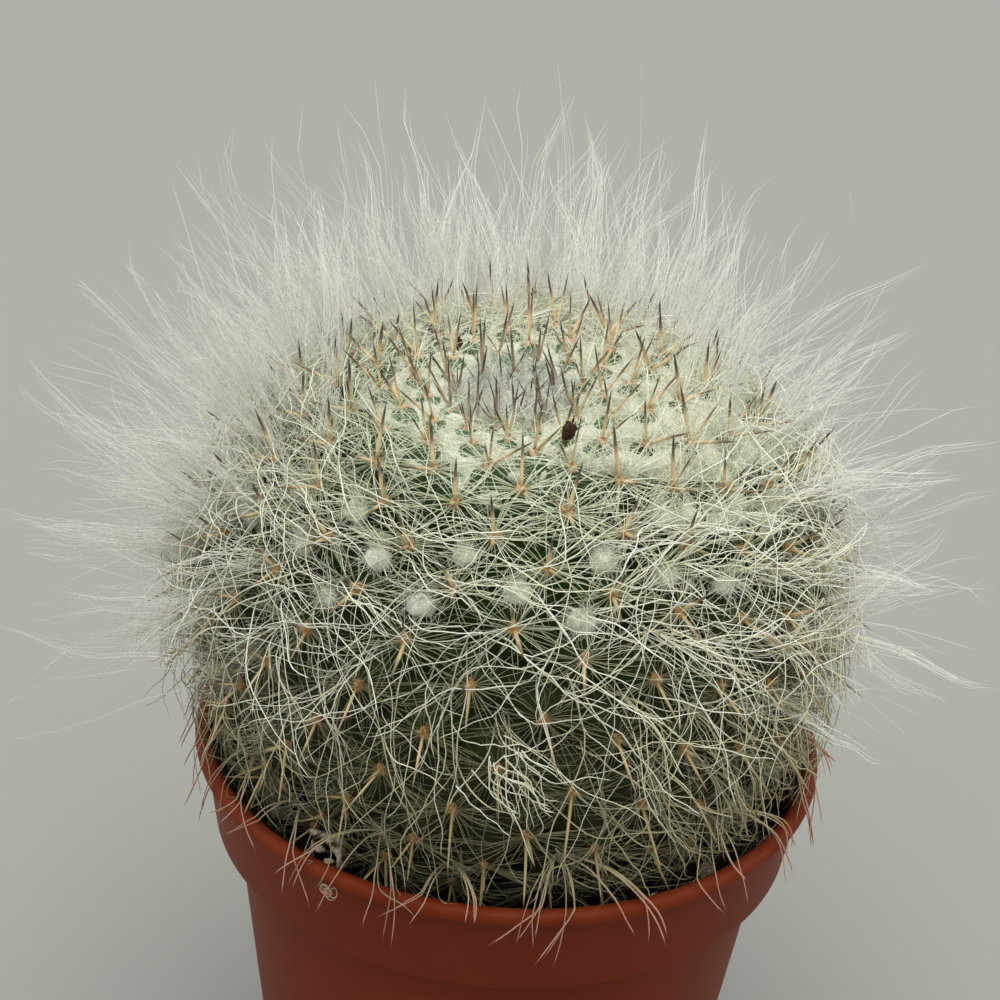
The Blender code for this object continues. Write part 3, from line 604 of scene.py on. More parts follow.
def build_pot():
    """The nursery pot: its outline turned once round, and the drain holes cut from its floor."""
    collar_foot = POT_HEIGHT - COLLAR_HEIGHT
    lip_foot = POT_HEIGHT - LIP_HEIGHT
    ledge = collar_foot + WALL
    outline = [(0.0, 0.0, 0), (0.4 * MM, 0.0, 0.1 * MM), (BASE_RADIUS - 0.9 * MM, 0.0, 0.3 * MM),
               (BASE_RADIUS + 0.05 * MM, 0.9 * MM, 0.4 * MM),
               (BODY_TOP_RADIUS, collar_foot, 0.15 * MM),
               (COLLAR_FOOT_RADIUS, collar_foot, 0.30 * MM),
               (COLLAR_TOP_RADIUS, lip_foot, 0.20 * MM),
               (LIP_RADIUS, lip_foot + 0.15 * MM, 0.22 * MM),
               (LIP_RADIUS, POT_HEIGHT, 0.6 * MM),
               (LIP_RADIUS - LIP_WIDTH, POT_HEIGHT, 0.5 * MM),
               (COLLAR_TOP_RADIUS - WALL, lip_foot, 0.3 * MM),
               (COLLAR_FOOT_RADIUS - WALL, ledge, 0.2 * MM),
               (BODY_TOP_RADIUS - WALL, ledge, 0.2 * MM),
               (BASE_RADIUS - WALL + 0.15 * MM, FLOOR, 0.4 * MM), (0.4 * MM, FLOOR, 0.1 * MM),
               (0.0, FLOOR, 0)]
    rows = rounded(outline)[1:-1]
    shape = Shape()
    shape.skin(about(rows[:, :1], whole_turn(POT_COLUMNS), rows[:, 1:]), (0, 0, 0), (0, 0, FLOOR))
    pot = shape.piece("nursery_pot", terracotta_plastic(), ["pot"],
                      seated=False, outwards=True)
    plugs_work = bmesh.new()
    for bearing in whole_turn(DRAIN_HOLES) + math.pi / DRAIN_HOLES:
        middle = DRAIN_CIRCLE * math.cos(bearing), DRAIN_CIRCLE * math.sin(bearing), FLOOR / 2
        bmesh.ops.create_cone(plugs_work, cap_ends=True, segments=DRAIN_COLUMNS,
                              radius1=DRAIN_RADIUS, radius2=DRAIN_RADIUS, depth=4 * FLOOR,
                              matrix=Matrix.Translation(middle))
    plugs = bpy.data.meshes.new("plugs")
    plugs_work.to_mesh(plugs)
    plugs_work.free()
    cutter = bpy.data.objects.new("plugs", plugs)
    bpy.context.scene.collection.objects.link(cutter)
    cut = pot.modifiers.new("drain_holes", "BOOLEAN")
    cut.operation, cut.solver, cut.object = "DIFFERENCE", "EXACT", cutter
    drilled = pot.evaluated_get(bpy.context.evaluated_depsgraph_get())
    mesh = bpy.data.meshes.new_from_object(drilled)
    pot.modifiers.clear()
    pot.data = mesh
    bpy.data.objects.remove(cutter)
    pot.data.set_sharp_from_angle(angle=SHARP_EDGE)


def ripple(x, y, z=0.0):
    """A smooth lumpy field between about -1 and 1: five crossed sine waves, in millimetres."""
    x, y, z = x / MM, y / MM, z / MM
    return (np.sin(1.31 * x + 0.7 * y + 0.5 * z) + np.sin(0.52 * x - 1.12 * y + 1.0)
            + 0.7 * np.sin(2.3 * x + 1.9 * y + 0.8 * z + 2.0) + 0.5 * np.sin(3.7 * x - 2.6 * y)
            + 0.4 * np.sin(4.1 * y + 3.2 * x + 1.3 * z)) / 3.0


def soil_crumbs(shape, chance):
    """Loose crumbs on the soil: small solids of twenty faces, each corner shaken."""
    bearing = chance.uniform(0, 2 * np.pi, CRUMBS)
    distance = np.sqrt(chance.uniform(0.55, 0.985, CRUMBS)) * (SOIL_EDGE - 0.5 * MM)
    size = chance.uniform(0.22, 0.75, CRUMBS) ** 1.2 * MM
    work = bmesh.new()
    bmesh.ops.create_icosphere(work, subdivisions=1, radius=1.0)
    work.verts.index_update()
    corner = np.array([v.co for v in work.verts])
    faces = np.array([[v.index for v in face.verts] for face in work.faces])
    work.free()
    lumps = corner[None] * chance.uniform(0.55, 1.15, (CRUMBS, len(corner), 1))
    lumps = lumps * size[:, None, None] * [1.0, 0.8, 0.75]
    place = about(distance, bearing, 0.35 * size)
    place[:, 2] += SOIL_LEVEL - 0.1 * MM + 0.45 * MM * ripple(place[:, 0], place[:, 1])
    offset = len(corner) * np.arange(CRUMBS)[:, None]
    uv = np.tile([[0.2, 0.2], [0.8, 0.2], [0.5, 0.8]], (CRUMBS * len(faces), 1))
    lumps = lumps + place[:, None]
    shape.add(lumps.reshape(-1, 3), (faces.reshape(-1)[None] + offset).reshape(-1),
              np.full(CRUMBS * len(faces), 3), uv)


def soil_fibres(shape, chance):
    """Short brown fibres that lie on the soil, each bent by the square of the way along it."""
    count = SOIL_FIBRES
    bearing = chance.uniform(0, 2 * np.pi, count)
    distance = chance.uniform(18 * MM, 23.4 * MM, count)
    middle = about(distance, bearing, SOIL_LEVEL + 0.45 * MM)
    lay = unit(np.stack([chance.normal(0, 1, count), chance.normal(0, 1, count),
                         chance.normal(0, 0.12, count)], axis=-1))
    t = np.linspace(-1, 1, 6)[None, :, None]
    bow = unit(chance.normal(0, 1, (count, 3)) * [1, 1, 0.3]) * 0.25 * MM
    length = chance.uniform(0.6, 1.6, count)[:, None, None] * MM
    path = middle[:, None] + lay[:, None] * t * length + bow[:, None] * t * t
    thick = tapered(chance.uniform(0.05, 0.13, count), np.zeros(6), 0)
    shape.strands(path, thick, chance.uniform(0, 1, count), sides=4)


def build_soil(chance):
    """Potting mix: a lumpy sheet over a plain underside, and loose crumbs and fibres on it."""
    radius = np.concatenate([np.linspace(0.6 * MM, 14 * MM, 12),
                             np.linspace(15 * MM, SOIL_EDGE, 46)])[:, None]
    turn = whole_turn(SOIL_COLUMNS)
    top = about(radius, turn, 0.0)
    x, y = top[..., 0], top[..., 1]
    height = SOIL_LEVEL - 0.1 * MM + 0.45 * MM * ripple(x, y) + 0.22 * MM * ripple(3.1 * x, 3.1 * y)
    height = np.minimum(height, SOIL_LEVEL - 0.5 * MM - (19 * MM - radius) * 0.12)
    top[..., 2] = height + 0.5 * MM * smooth(17 * MM, SOIL_EDGE, radius)
    lower = about(SOIL_EDGE, turn, 40.2 * MM)
    body = lower * [22.6 / 24.8, 22.6 / 24.8, 1.0]
    foot = about(SOIL_FOOT_RADIUS, turn, SOIL_FOOT)
    shape = Shape()
    shape.skin(np.concatenate([top, lower[None], body[None], foot[None]])[::-1],
               (0, 0, SOIL_FOOT), (0, 0, top[0, :, 2].mean()))
    soil = damp_soil()
    shape.piece("potting_mix", soil, ["soil"], seated=False, outwards=True)
    crumbs = Shape()
    soil_crumbs(crumbs, chance)
    soil_fibres(crumbs, chance)
    crumbs.piece("soil_crumbs", soil, seated=False, smoothed=False)


# ---------------------------------------------------------------- stem

def half_shape(upper):
    """The surface's squareness and its depth, over or under its widest ring."""
    return (np.where(upper, CROWN_SQUARENESS, UNDERSIDE_SQUARENESS),
            np.where(upper, CROWN_HEIGHT, UNDERSIDE_DEPTH))


def stem_profile(angle):
    """Radius and height of the tubercle tips, at an angle down from the crown's centre."""
    cosine = np.cos(angle)
    squareness, depth = half_shape(cosine >= 0)
    radius = STEM_RADIUS * np.abs(np.sin(angle)) ** (2 / squareness)
    height = depth * np.sign(cosine) * np.abs(cosine) ** (2 / squareness)
    dimple = np.where(cosine >= 0, DIMPLE_DEPTH * np.exp(-(radius / DIMPLE_RADIUS) ** 2), 0.0)
    return radius, height - dimple


CROWN_FLOOR = stem_profile(np.array([0.001]))[1][0]  # height of the dip in the crown's middle


def outward(points):
    """Unit normals of the surface through the tubercles' tips, at points on it."""
    radius = np.hypot(points[..., 0], points[..., 1])
    squareness, depth = half_shape(points[..., 2] >= 0)
    level = np.clip(np.abs(points[..., 2]) / depth, 0, 1)
    side = (radius / STEM_RADIUS) ** (squareness - 1) / STEM_RADIUS
    rise = np.sign(points[..., 2]) * level ** (squareness - 1) / depth
    flat = points[..., :2] / np.maximum(radius, 1e-9)[..., None]
    return unit(np.concatenate([flat * side[..., None], rise[..., None]], axis=-1))


def stretch(points):
    """How far out each point is, as a share of the way to the tubercles' tips: 1 is on them."""
    radius = np.hypot(points[..., 0], points[..., 1])
    squareness, depth = half_shape(points[..., 2] >= 0)
    level = (radius / STEM_RADIUS) ** squareness + (np.abs(points[..., 2]) / depth) ** squareness
    return np.maximum(level, 1e-9) ** (1 / squareness)


def keep_off(points, clearance):
    """Points nearer the tubercles' tips than a clearance are moved straight out to it."""
    size = np.linalg.norm(points, axis=-1)
    least = 1 + clearance / np.maximum(size, 1e-6)
    push = np.maximum(least / stretch(points), 1.0)
    return points * push[..., None]


def lie_at(points, height):
    """Points moved straight in or out until they are a height over the tubercles' tips."""
    size = np.linalg.norm(points, axis=-1) / stretch(points)
    return points / stretch(points)[..., None] * (1 + height / size)[..., None]


def areole_area(arc):
    """The surface that an areole has to itself, which grows with its distance from the middle."""
    return YOUNG_AREA + (OLD_AREA - YOUNG_AREA) * (1 - np.exp(-(arc / GROWTH_ARC) ** 2))


class Lattice:
    """The areoles in their golden-angle spiral, youngest first."""

    def __init__(self):
        angle = np.linspace(1e-3, math.pi - 1e-3, 1500)
        radius, height = stem_profile(angle)
        step = np.hypot(np.diff(radius), np.diff(height))
        arc = radius[0] + np.concatenate(([0.0], np.cumsum(step)))
        crowding = 2 * math.pi * radius / areole_area(arc)
        between = (crowding[1:] + crowding[:-1]) / 2 * step
        count = np.concatenate(([0.0], np.cumsum(between)))
        order = np.arange(int(count[-1])) + 0.5
        self.number = np.arange(len(order))
        self.turn = FIRST_TURN - GOLDEN_ANGLE * order
        self.arc = np.interp(order, count, arc)
        radius, height = stem_profile(np.interp(order, count, angle))
        self.tip = about(radius, self.turn, height)
        self.normal = outward(self.tip)
        self.right = unit(np.cross([0.0, 0.0, 1.0], self.normal))
        self.up = np.cross(self.normal, self.right)
        self.spacing = np.sqrt(areole_area(self.arc))
        growth = 1 - np.exp(-(self.arc / TUBERCLE_ARC) ** 2)
        self.depth = YOUNG_TUBERCLE_HEIGHT + TUBERCLE_HEIGHT * growth
        self.height = seat(self.tip)[:, 2]
        self.grown = self.height > SOIL_LEVEL + 1.5 * MM
        self.front = unit(self.normal * [1, 1, 0]) @ unit(TO_CAMERA * [1, 1, 0])
        self.sideways = self.tip[:, 0] / STEM_RADIUS
        self.axil = self.axils()

    def axils(self):
        """For each areole, the middle of it and its nearest neighbour up on either side."""
        away = self.tip[None] - self.tip[:, None]
        distance = np.linalg.norm(away, axis=2)
        bearing = np.arctan2(np.einsum("ijk,ik->ij", away, self.right),
                             np.einsum("ijk,ik->ij", away, self.up))
        near = np.argsort(distance, axis=1)[:, 1:7]
        turn = np.take_along_axis(bearing, near, axis=1)
        middle = self.tip
        for off_line in (np.where(turn < 0, -turn, 9), np.where(turn >= 0, turn, 9)):
            closest = np.argmin(off_line, axis=1)[:, None]
            middle = middle + self.tip[np.take_along_axis(near, closest, 1)[:, 0]]
        return middle / 3

    def from_number(self, first, last=math.inf):
        """The areoles above the soil from one number up to another."""
        return self.number[self.grown & (self.number >= first) & (self.number < last)]


def valleys(lattice, rows):
    """How far the flesh lies below the tubercles' tips at points on the surface through them.

    It is the local tubercle height times the distance to the nearest tip, over the spacing, to
    the power 1.35: a blunt cone.  Also gives the nearest areole and that distance as a share.
    """
    nearest = np.concatenate([
        np.argmin(((block[:, None] - lattice.tip[None]) ** 2).sum(-1), axis=1)
        for block in np.array_split(rows, 24)])
    gap = np.linalg.norm(rows - lattice.tip[nearest], axis=1)
    share = np.clip((gap - 0.25 * MM) / (0.60 * lattice.spacing[nearest]), 0, 1.1)
    return lattice.depth[nearest] * share ** 1.35, nearest, share


def turned(angle, columns):
    """Points of the surface through the tips as a (rows, columns, 3) grid."""
    radius, height = stem_profile(angle)
    return about(radius[:, None], whole_turn(columns), height[:, None])


def build_stem(lattice):
    """The flesh: a turned surface pushed in between the tubercles."""
    angle = np.concatenate([np.linspace(0.03, 0.5, 18), np.linspace(0.53, 2.45, 90),
                            np.linspace(2.5, math.pi - 0.05, 5)])
    surface = turned(angle, STEM_COLUMNS)
    rows = surface.reshape(-1, 3)
    above = smooth(SOIL_LEVEL - 1 * MM, SOIL_LEVEL + 1.5 * MM, seat(rows)[:, 2])
    depth = valleys(lattice, rows)[0] * above
    rows = rows - outward(rows) * depth[:, None]
    shape = Shape()
    shape.skin(rows.reshape(surface.shape)[::-1], (0, 0, -UNDERSIDE_DEPTH), (0, 0, CROWN_FLOOR))
    shape.piece("stem_flesh", flesh(), ["cactus_stem"], outwards=True)


def build_wool_fill(lattice, chance):
    """Matted wool that fills the valleys of the crown, and further down on the sides.

    Its top lies a little under the tips, with lumps.  Where the wool ends it dives under the
    flesh, at an areole number that is larger at the back and the sides than in front.
    """
    rings, columns = WOOL_FILL_GRID
    surface = turned(np.linspace(0.10, 1.50, rings), columns)
    rows = surface.reshape(-1, 3)
    _, nearest, share = valleys(lattice, rows)
    sideways = rows[:, 0] / STEM_RADIUS
    right, left = smooth(0.15, 0.75, sideways), smooth(0.3, 0.8, -sideways)
    behind = smooth(0.0, 0.7, rows[:, 1] / STEM_RADIUS)
    ends = 38 + np.maximum(np.maximum(54 * right, 24 * left), 26 * behind)
    sunk = 0.50 * smooth(12, 48, nearest) * (1 - np.maximum(0.9 * right, 0.4 * left))
    level = 0.08 + sunk + 0.35 * (1 - share)
    level = level + 3.5 * smooth(0, 26, nearest + 9 * ripple(*(0.35 * rows.T)) - ends)
    level = level + 0.22 * ripple(*(1.6 * rows.T)) + 0.14 * ripple(*(3.9 * rows.T))
    level = level + chance.normal(0, 0.03, len(rows))
    top = (rows - outward(rows) * (level * MM)[:, None]).reshape(surface.shape)
    under = surface[[-1, 0]] - outward(surface[[-1, 0]]) * 5.5 * MM
    middle = top[0].mean(axis=0)
    shape = Shape()
    shape.skin(np.concatenate([top, under])[::-1], middle - [0, 0, 5.0 * MM], middle,
               along=(1.0, 0.6))
    shape.piece("crown_wool_fill", matted_wool(), outwards=True)


def build_felt(lattice, chance):
    """A small felted cushion on each tubercle's tip: a low dome, taller than it is wide."""
    keep = lattice.from_number(FELT_FIRST)
    size = (0.26 + 0.34 * np.minimum(1, lattice.arc[keep] / TUBERCLE_ARC)) * MM
    dome = ball(4, 8, 0.25, math.pi / 2 + 0.5) * [0.72, 1.02, 0.55]
    rough = chance.uniform(0.85, 1.15, (len(keep), 4, 8, 1))
    dome = dome[None] * rough * size[:, None, None, None]
    tip, out = lattice.tip[keep], lattice.normal[keep]
    axes = np.stack([lattice.right[keep], lattice.up[keep], out], axis=1)
    dome = np.einsum("nrck,nkj->nrcj", dome, axes) + tip[:, None, None]
    shape = Shape()
    for pad, foot, top in zip(dome, tip - out * 0.3 * size[:, None],
                              tip + out * 0.55 * size[:, None]):
        shape.skin(pad[::-1], foot, top)
    shape.piece("areole_felt", felt())


# ---------------------------------------------------------------- spines

def ageing(world_height):
    """Tone by height: 0 for the oldest growth by the soil, 1 from the middle of the stem up."""
    return smooth(47 * MM, 64 * MM, world_height)


def arched(start, length, aim, bend, t):
    """Paths that leave along an aim and bend away by the square of the way along them."""
    run = aim[:, None] * t[:, None] + bend[:, None] * (t * t)[:, None]
    return start[:, None] + length[:, None, None] * run


def near_husk(path):
    """Which strands, in the pot's frame, come close to the husk or hang just in front of it."""
    middle = box_middle("dry_husk")
    centre = middle + unit(middle * [1, 1, 0]) * 1.2 * MM + [0.0, 0.0, 1.6 * MM]
    return (np.linalg.norm(path - centre, axis=-1) < HUSK_CLEARANCE).any(axis=1)


def build_radials(lattice, chance):
    """Radial spines: a fan of fine bristles round each areole, raised a little and arched down.

    A bristle leaves at its bearing in the areole's plane, lifted by its own angle, and bends
    back towards the stem by a share of the square of the way along it.
    """
    keep = lattice.from_number(RADIAL_FIRST)
    home = np.repeat(keep, RADIALS_EACH)
    bearing = np.tile(np.arange(RADIALS_EACH), len(keep))
    sparse = 0.24 + 0.76 * smooth(26, 76, home)
    sparse = sparse * (1 - 0.25 * smooth(0.2, 0.9, -lattice.front[home]))
    stays = chance.uniform(0, 1, len(home)) < sparse
    home, bearing = home[stays], bearing[stays]
    count = len(home)
    bearing = 2 * np.pi * (bearing + chance.uniform(-0.9, 0.9, count)) / RADIALS_EACH
    bearing -= 0.26 * np.sin(2 * bearing)
    lift = chance.uniform(0.0, 0.66, count)[:, None]
    normal, turn = lattice.normal[home], bearing[:, None]
    out = lattice.right[home] * np.cos(turn) + lattice.up[home] * np.sin(turn)
    aim = out * np.cos(lift) + normal * np.sin(lift)
    full = (2.4 + 2.7 * np.minimum(1, lattice.arc[home] / (14 * MM))) * MM
    wide = 1 + 0.40 * np.abs(np.cos(bearing)) - 0.08 * np.sin(bearing)
    length = full * chance.uniform(0.55, 1.18, count) * wide
    t = np.linspace(0, 1, 4)
    across = np.cross(normal, out) * chance.normal(0, 0.27, count)[:, None]
    bend = across - normal * chance.uniform(0.05, 0.34, count)[:, None]
    path = arched(lattice.tip[home] + normal * 0.12 * MM + out * 0.22 * MM, length, aim, bend, t)
    thick = chance.uniform(0.034, 0.056, count) * (1 - 0.25 * smooth(80, 140, home))
    thick = tapered(thick, t, 0.62, 1.6)
    tone = 0.04 + 0.40 * (1 - smooth(106, 158, home)) + 0.56 * (1 - smooth(52, 104, home))
    # Radials on the plant's left get a lower, greener tone: painted shade on the side away from the
    # warm right light.
    painted_left_shade = smooth(0.0, 0.4, -lattice.sideways[home]) * smooth(40, 60, home)
    tone = np.clip(tone * (1 - 0.3 * painted_left_shade) * chance.uniform(0.45, 1.12, count), 0, 1)
    tones = (0.17, 0.145, 0.062), (0.72, 0.79, 0.56), (0.94, 0.95, 0.80)
    finish = strand_finish("radial_spine", tones, (0.74, 0.60, 0.32), 0.10, rough=0.45)
    spines = only(~near_husk(seat(path)), (path, thick, tone))
    half = len(spines[0]) // 2
    for name, part in (("young", slice(0, half)), ("old", slice(half, None))):
        strand_piece(f"radial_spines_{name}", finish, "axil_hair", only(part, spines))


def build_centrals(lattice, chance):
    """Central spines: stiff, straight and tapering.

    A young areole has several that stand up and lean in over the crown; a grown one has an
    upper one, dark tipped, and a lower one that is paler the older it is.
    """
    homes, aims, lengths, tones, widths = [], [], [], [], []

    def spread(home, tilt, swing, length, tone, width):
        """Adds a spine to each home, tilted from the normal towards the crown or away from it."""
        count = len(home)
        tilt = chance.uniform(*tilt, count)[:, None]
        side = chance.normal(0, swing, count)[:, None]
        aims.append(unit(lattice.normal[home] * np.cos(tilt) + lattice.up[home] * np.sin(tilt)
                         + lattice.right[home] * side))
        homes.append(home)
        lengths.append(chance.uniform(*length, count) * MM)
        tones.append(np.clip(tone + chance.normal(0, 0.10, count), 0, 1))
        widths.append(np.full(count, width) * chance.uniform(0.85, 1.15, count) * MM)

    first = lattice.from_number
    spread(first(8, 56), (-0.05, 0.35), 0.14, (4.0, 5.4), 0.95, 0.125)
    spread(first(14, 56), (-0.55, -0.15), 0.22, (3.6, 5.2), 0.95, 0.125)
    spread(first(2, 14), (-0.2, 0.2), 0.40, (2.8, 4.0), 1.0, 0.10)
    for _ in range(2):
        spread(first(2, 30), (-0.45, 0.45), 0.42, (2.0, 3.4), 1.0, 0.085)
    for home, tilt, length, gain, width in (
            (first(56, 84), (0.25, 0.70), (4.2, 5.8), 0.85, 0.170),
            (first(84, 150), (0.10, 0.60), (3.2, 5.0), 0.85, 0.155),
            (first(150), (0.25, 0.70), (3.0, 4.4), 0.6, 0.115)):
        spread(home, tilt, 0.16, length, 0.15 + gain * ageing(lattice.height[home]), width)
    for home, length, width in ((first(56, 135), (3.0, 4.6), 0.16), (first(135), (4.0, 6.0), 0.12)):
        tone = 0.5 * ageing(lattice.height[home]) ** 2 + 0.35 * (1 - smooth(60, 110, home))
        spread(home, (-1.0, -0.5), 0.15, length, tone, width)
    side = first(30, 96)
    side = side[chance.uniform(0, 1, len(lattice.number))[side] < 0.45]
    spread(side, (-0.15, 0.25), 0.70, (3.6, 5.2), 0.8, 0.135)
    home = np.concatenate(homes)
    t = np.linspace(0, 1, 6)
    start = lattice.tip[home] + lattice.normal[home] * 0.05 * MM
    bow = unit(chance.normal(0, 1, (len(home), 3))) * 0.03
    path = arched(start, np.concatenate(lengths), np.concatenate(aims), bow, t)
    thick = np.concatenate(widths)[:, None] * (1.04 - 0.86 * t ** 2.4)
    spines = only(~near_husk(seat(path)), (path, thick, np.concatenate(tones)))
    strand_piece("central_spines", central_spine(), "straw_husk", spines, sides=5)


# ---------------------------------------------------------------- wool and hair

def curled(chance, start, aim, length, stations, curl, turns):
    """Wool fibres: a straight lead wound with a widening helix of random phase."""
    count = len(start)
    t = np.linspace(0, 1, stations)
    one = unit(np.cross(aim, chance.normal(0, 1, (count, 3))))
    two = np.cross(aim, one)
    phase = chance.uniform(0, 2 * np.pi, count)[:, None]
    swing = 2 * np.pi * turns * chance.uniform(0.6, 1.4, count)[:, None] * t + phase
    wide = curl * length[:, None] * t
    path = start[:, None] + aim[:, None] * (length[:, None] * t)[..., None]
    path = path + one[:, None] * (wide * np.sin(swing))[..., None]
    return path + two[:, None] * (wide * np.cos(swing))[..., None]


def woolly_balls(shape, chance, middle, out, right, size, each, reach):
    """Lumpy cores, each with fibres standing all round it, more of them outwards."""
    core = ball(6, 10, 0.3, math.pi - 0.3)
    for centre, normal, across, radius in zip(middle, out, right, size):
        axes = np.stack([across, np.cross(normal, across) * 0.85, normal * 0.8])
        lumps = core * (radius * chance.uniform(0.80, 1.10, (6, 10, 1)))
        shape.skin((lumps @ axes + centre)[::-1], centre - axes[2] * radius,
                   centre + axes[2] * radius, across=(0.1, 0.9), along=(0.4, 0.9))
    home = np.repeat(np.arange(len(middle)), each)
    aim = unit(chance.normal(0, 1, (len(home), 3)) + out[home] * 0.6)
    start = middle[home] + aim * (0.7 * size[home])[:, None]
    length = size[home] * chance.uniform(reach * 0.5, reach, len(home))
    path = curled(chance, start, aim, length, 4, 0.30, 0.9)
    thick = tapered(np.full(len(home), 0.022), np.linspace(0, 1, 4), 0.5)
    shape.strands(path, thick, chance.uniform(0, 1, len(home)))


def build_puffs(lattice, chance):
    """White wool above each tubercle of one turn of the spiral, and less of it higher up."""
    wool = strand_finish("wool", ((0.74, 0.77, 0.65), (0.86, 0.88, 0.77)), (0.76, 0.78, 0.66),
                         0.3, rough=0.9)
    puffs = Shape()
    keep = np.arange(*WOOLLY)
    out = outward(lattice.axil[keep])
    size = chance.uniform(0.95, 1.35, len(keep)) * MM
    middle = lattice.axil[keep] * 0.74 + lattice.tip[keep] * 0.26 - out * 0.40 * MM
    woolly_balls(puffs, chance, middle, out, lattice.right[keep], size, 120, 1.35)
    puffs.piece("axil_wool_puffs", wool,
                [f"wool_tuft_{number:02d}" for number in range(1, 19)])
    upper = Shape()
    keep = np.arange(*UPPER_WOOL)
    out, arc = outward(lattice.axil[keep]), lattice.arc[keep]
    right_side = smooth(-5 * MM, 16 * MM, lattice.tip[keep, 0])
    size = (0.65 + 0.45 * smooth(0, 9 * MM, arc)) * chance.uniform(0.9, 1.15, len(keep)) * MM
    size = size * (1 - (0.6 - 0.5 * right_side) * smooth(36, 60, keep))
    sunk = (0.5 + (0.4 - 0.3 * right_side) * smooth(0, 12 * MM, arc)) * MM
    middle = lattice.axil[keep] - out * sunk[:, None]
    woolly_balls(upper, chance, middle, out, lattice.right[keep], size, 36, 1.6)
    upper.piece("axil_wool_upper", wool)


def build_crown_wool(chance):
    """Greyish wool over the growing point: a shallow lumpy dome and a nap of fine fibres."""
    tones = (0.52, 0.55, 0.48), (0.76, 0.79, 0.72), (0.92, 0.94, 0.88)
    grey = strand_finish("crown_wool", tones, (0.50, 0.51, 0.43), 0.4, rough=0.9)
    radius = np.array([2.4, 2.0, 1.5, 0.8])[:, None] * MM
    rise = np.array([-0.3, 0.15, 0.35, 0.45])[:, None] * MM
    rise = CROWN_FLOOR + rise + 0.15 * MM * chance.normal(0, 1, (4, 20))
    shape = Shape()
    shape.skin(about(radius, whole_turn(20), rise), (0, 0, CROWN_FLOOR - 0.3 * MM),
               (0, 0, CROWN_FLOOR + 0.5 * MM), across=(0.1, 0.5), along=(0.0, 0.2))
    count = CROWN_FIBRES
    bearing = chance.uniform(0, 2 * np.pi, count)
    distance = CROWN_WOOL_RADIUS * np.sqrt(chance.uniform(0, 1, count))
    start = about(distance, bearing, CROWN_FLOOR + 0.1 * MM + 0.03 * distance ** 2 / MM)
    aim = unit(about(0.3, bearing, 1.2) * chance.uniform(0.3, 1.0, (count, 1))
               + chance.normal(0, 0.32, (count, 3)))
    length = chance.uniform(1.0, 2.7, count) * MM
    path = curled(chance, start, aim, length, 5, 0.20, 1.1)
    thick = tapered(np.full(count, 0.027), np.linspace(0, 1, 5), 0.5)
    shape.strands(path, thick, chance.uniform(0, 1, count))
    shape.piece("crown_wool_nap", grey, ["crown_wool"])


def waves(chance, t, along, size):
    """Sideways waves along strands: two crossed sines of unlike pace and random phase."""
    count = len(along)
    one = unit(np.cross(along, chance.normal(0, 1, (count, 3))))
    two = np.cross(along, one)
    made = 0
    for across, pace, share in ((one, 1.2, 1.0), (two, 2.2, 0.5)):
        phase = chance.uniform(0, 2 * np.pi, count)[:, None]
        turns = pace * chance.uniform(0.7, 1.3, count)[:, None]
        height = size[:, None] * share * t ** 0.8 * np.sin(2 * np.pi * turns * t + phase)
        made = made + across[:, None] * height[..., None]
    return made


def lock_hairs(chance, t, lock, centre, aim, shortest, spread):
    """Hairs that follow their lock's own path, each to its own share of the lock's length.

    centre(lock, share) gives the lock's path.  A hair keeps to one side of it, by a distance
    that shrinks steadily from the root to where the lock's tips meet.
    """
    count = len(lock)
    share = chance.uniform(shortest, 1.0, count)[:, None] * t
    path = centre(lock, share)
    one = unit(np.cross(aim[lock], chance.normal(0, 1, (count, 3))))
    side = one * (spread * np.sqrt(chance.uniform(0.03, 1, count)))[:, None]
    gap = 0.14 + (1 - share) ** 0.9
    path = path + side[:, None] * gap[..., None]
    return path + waves(chance, t, aim[lock], np.full(count, 0.20 * MM))


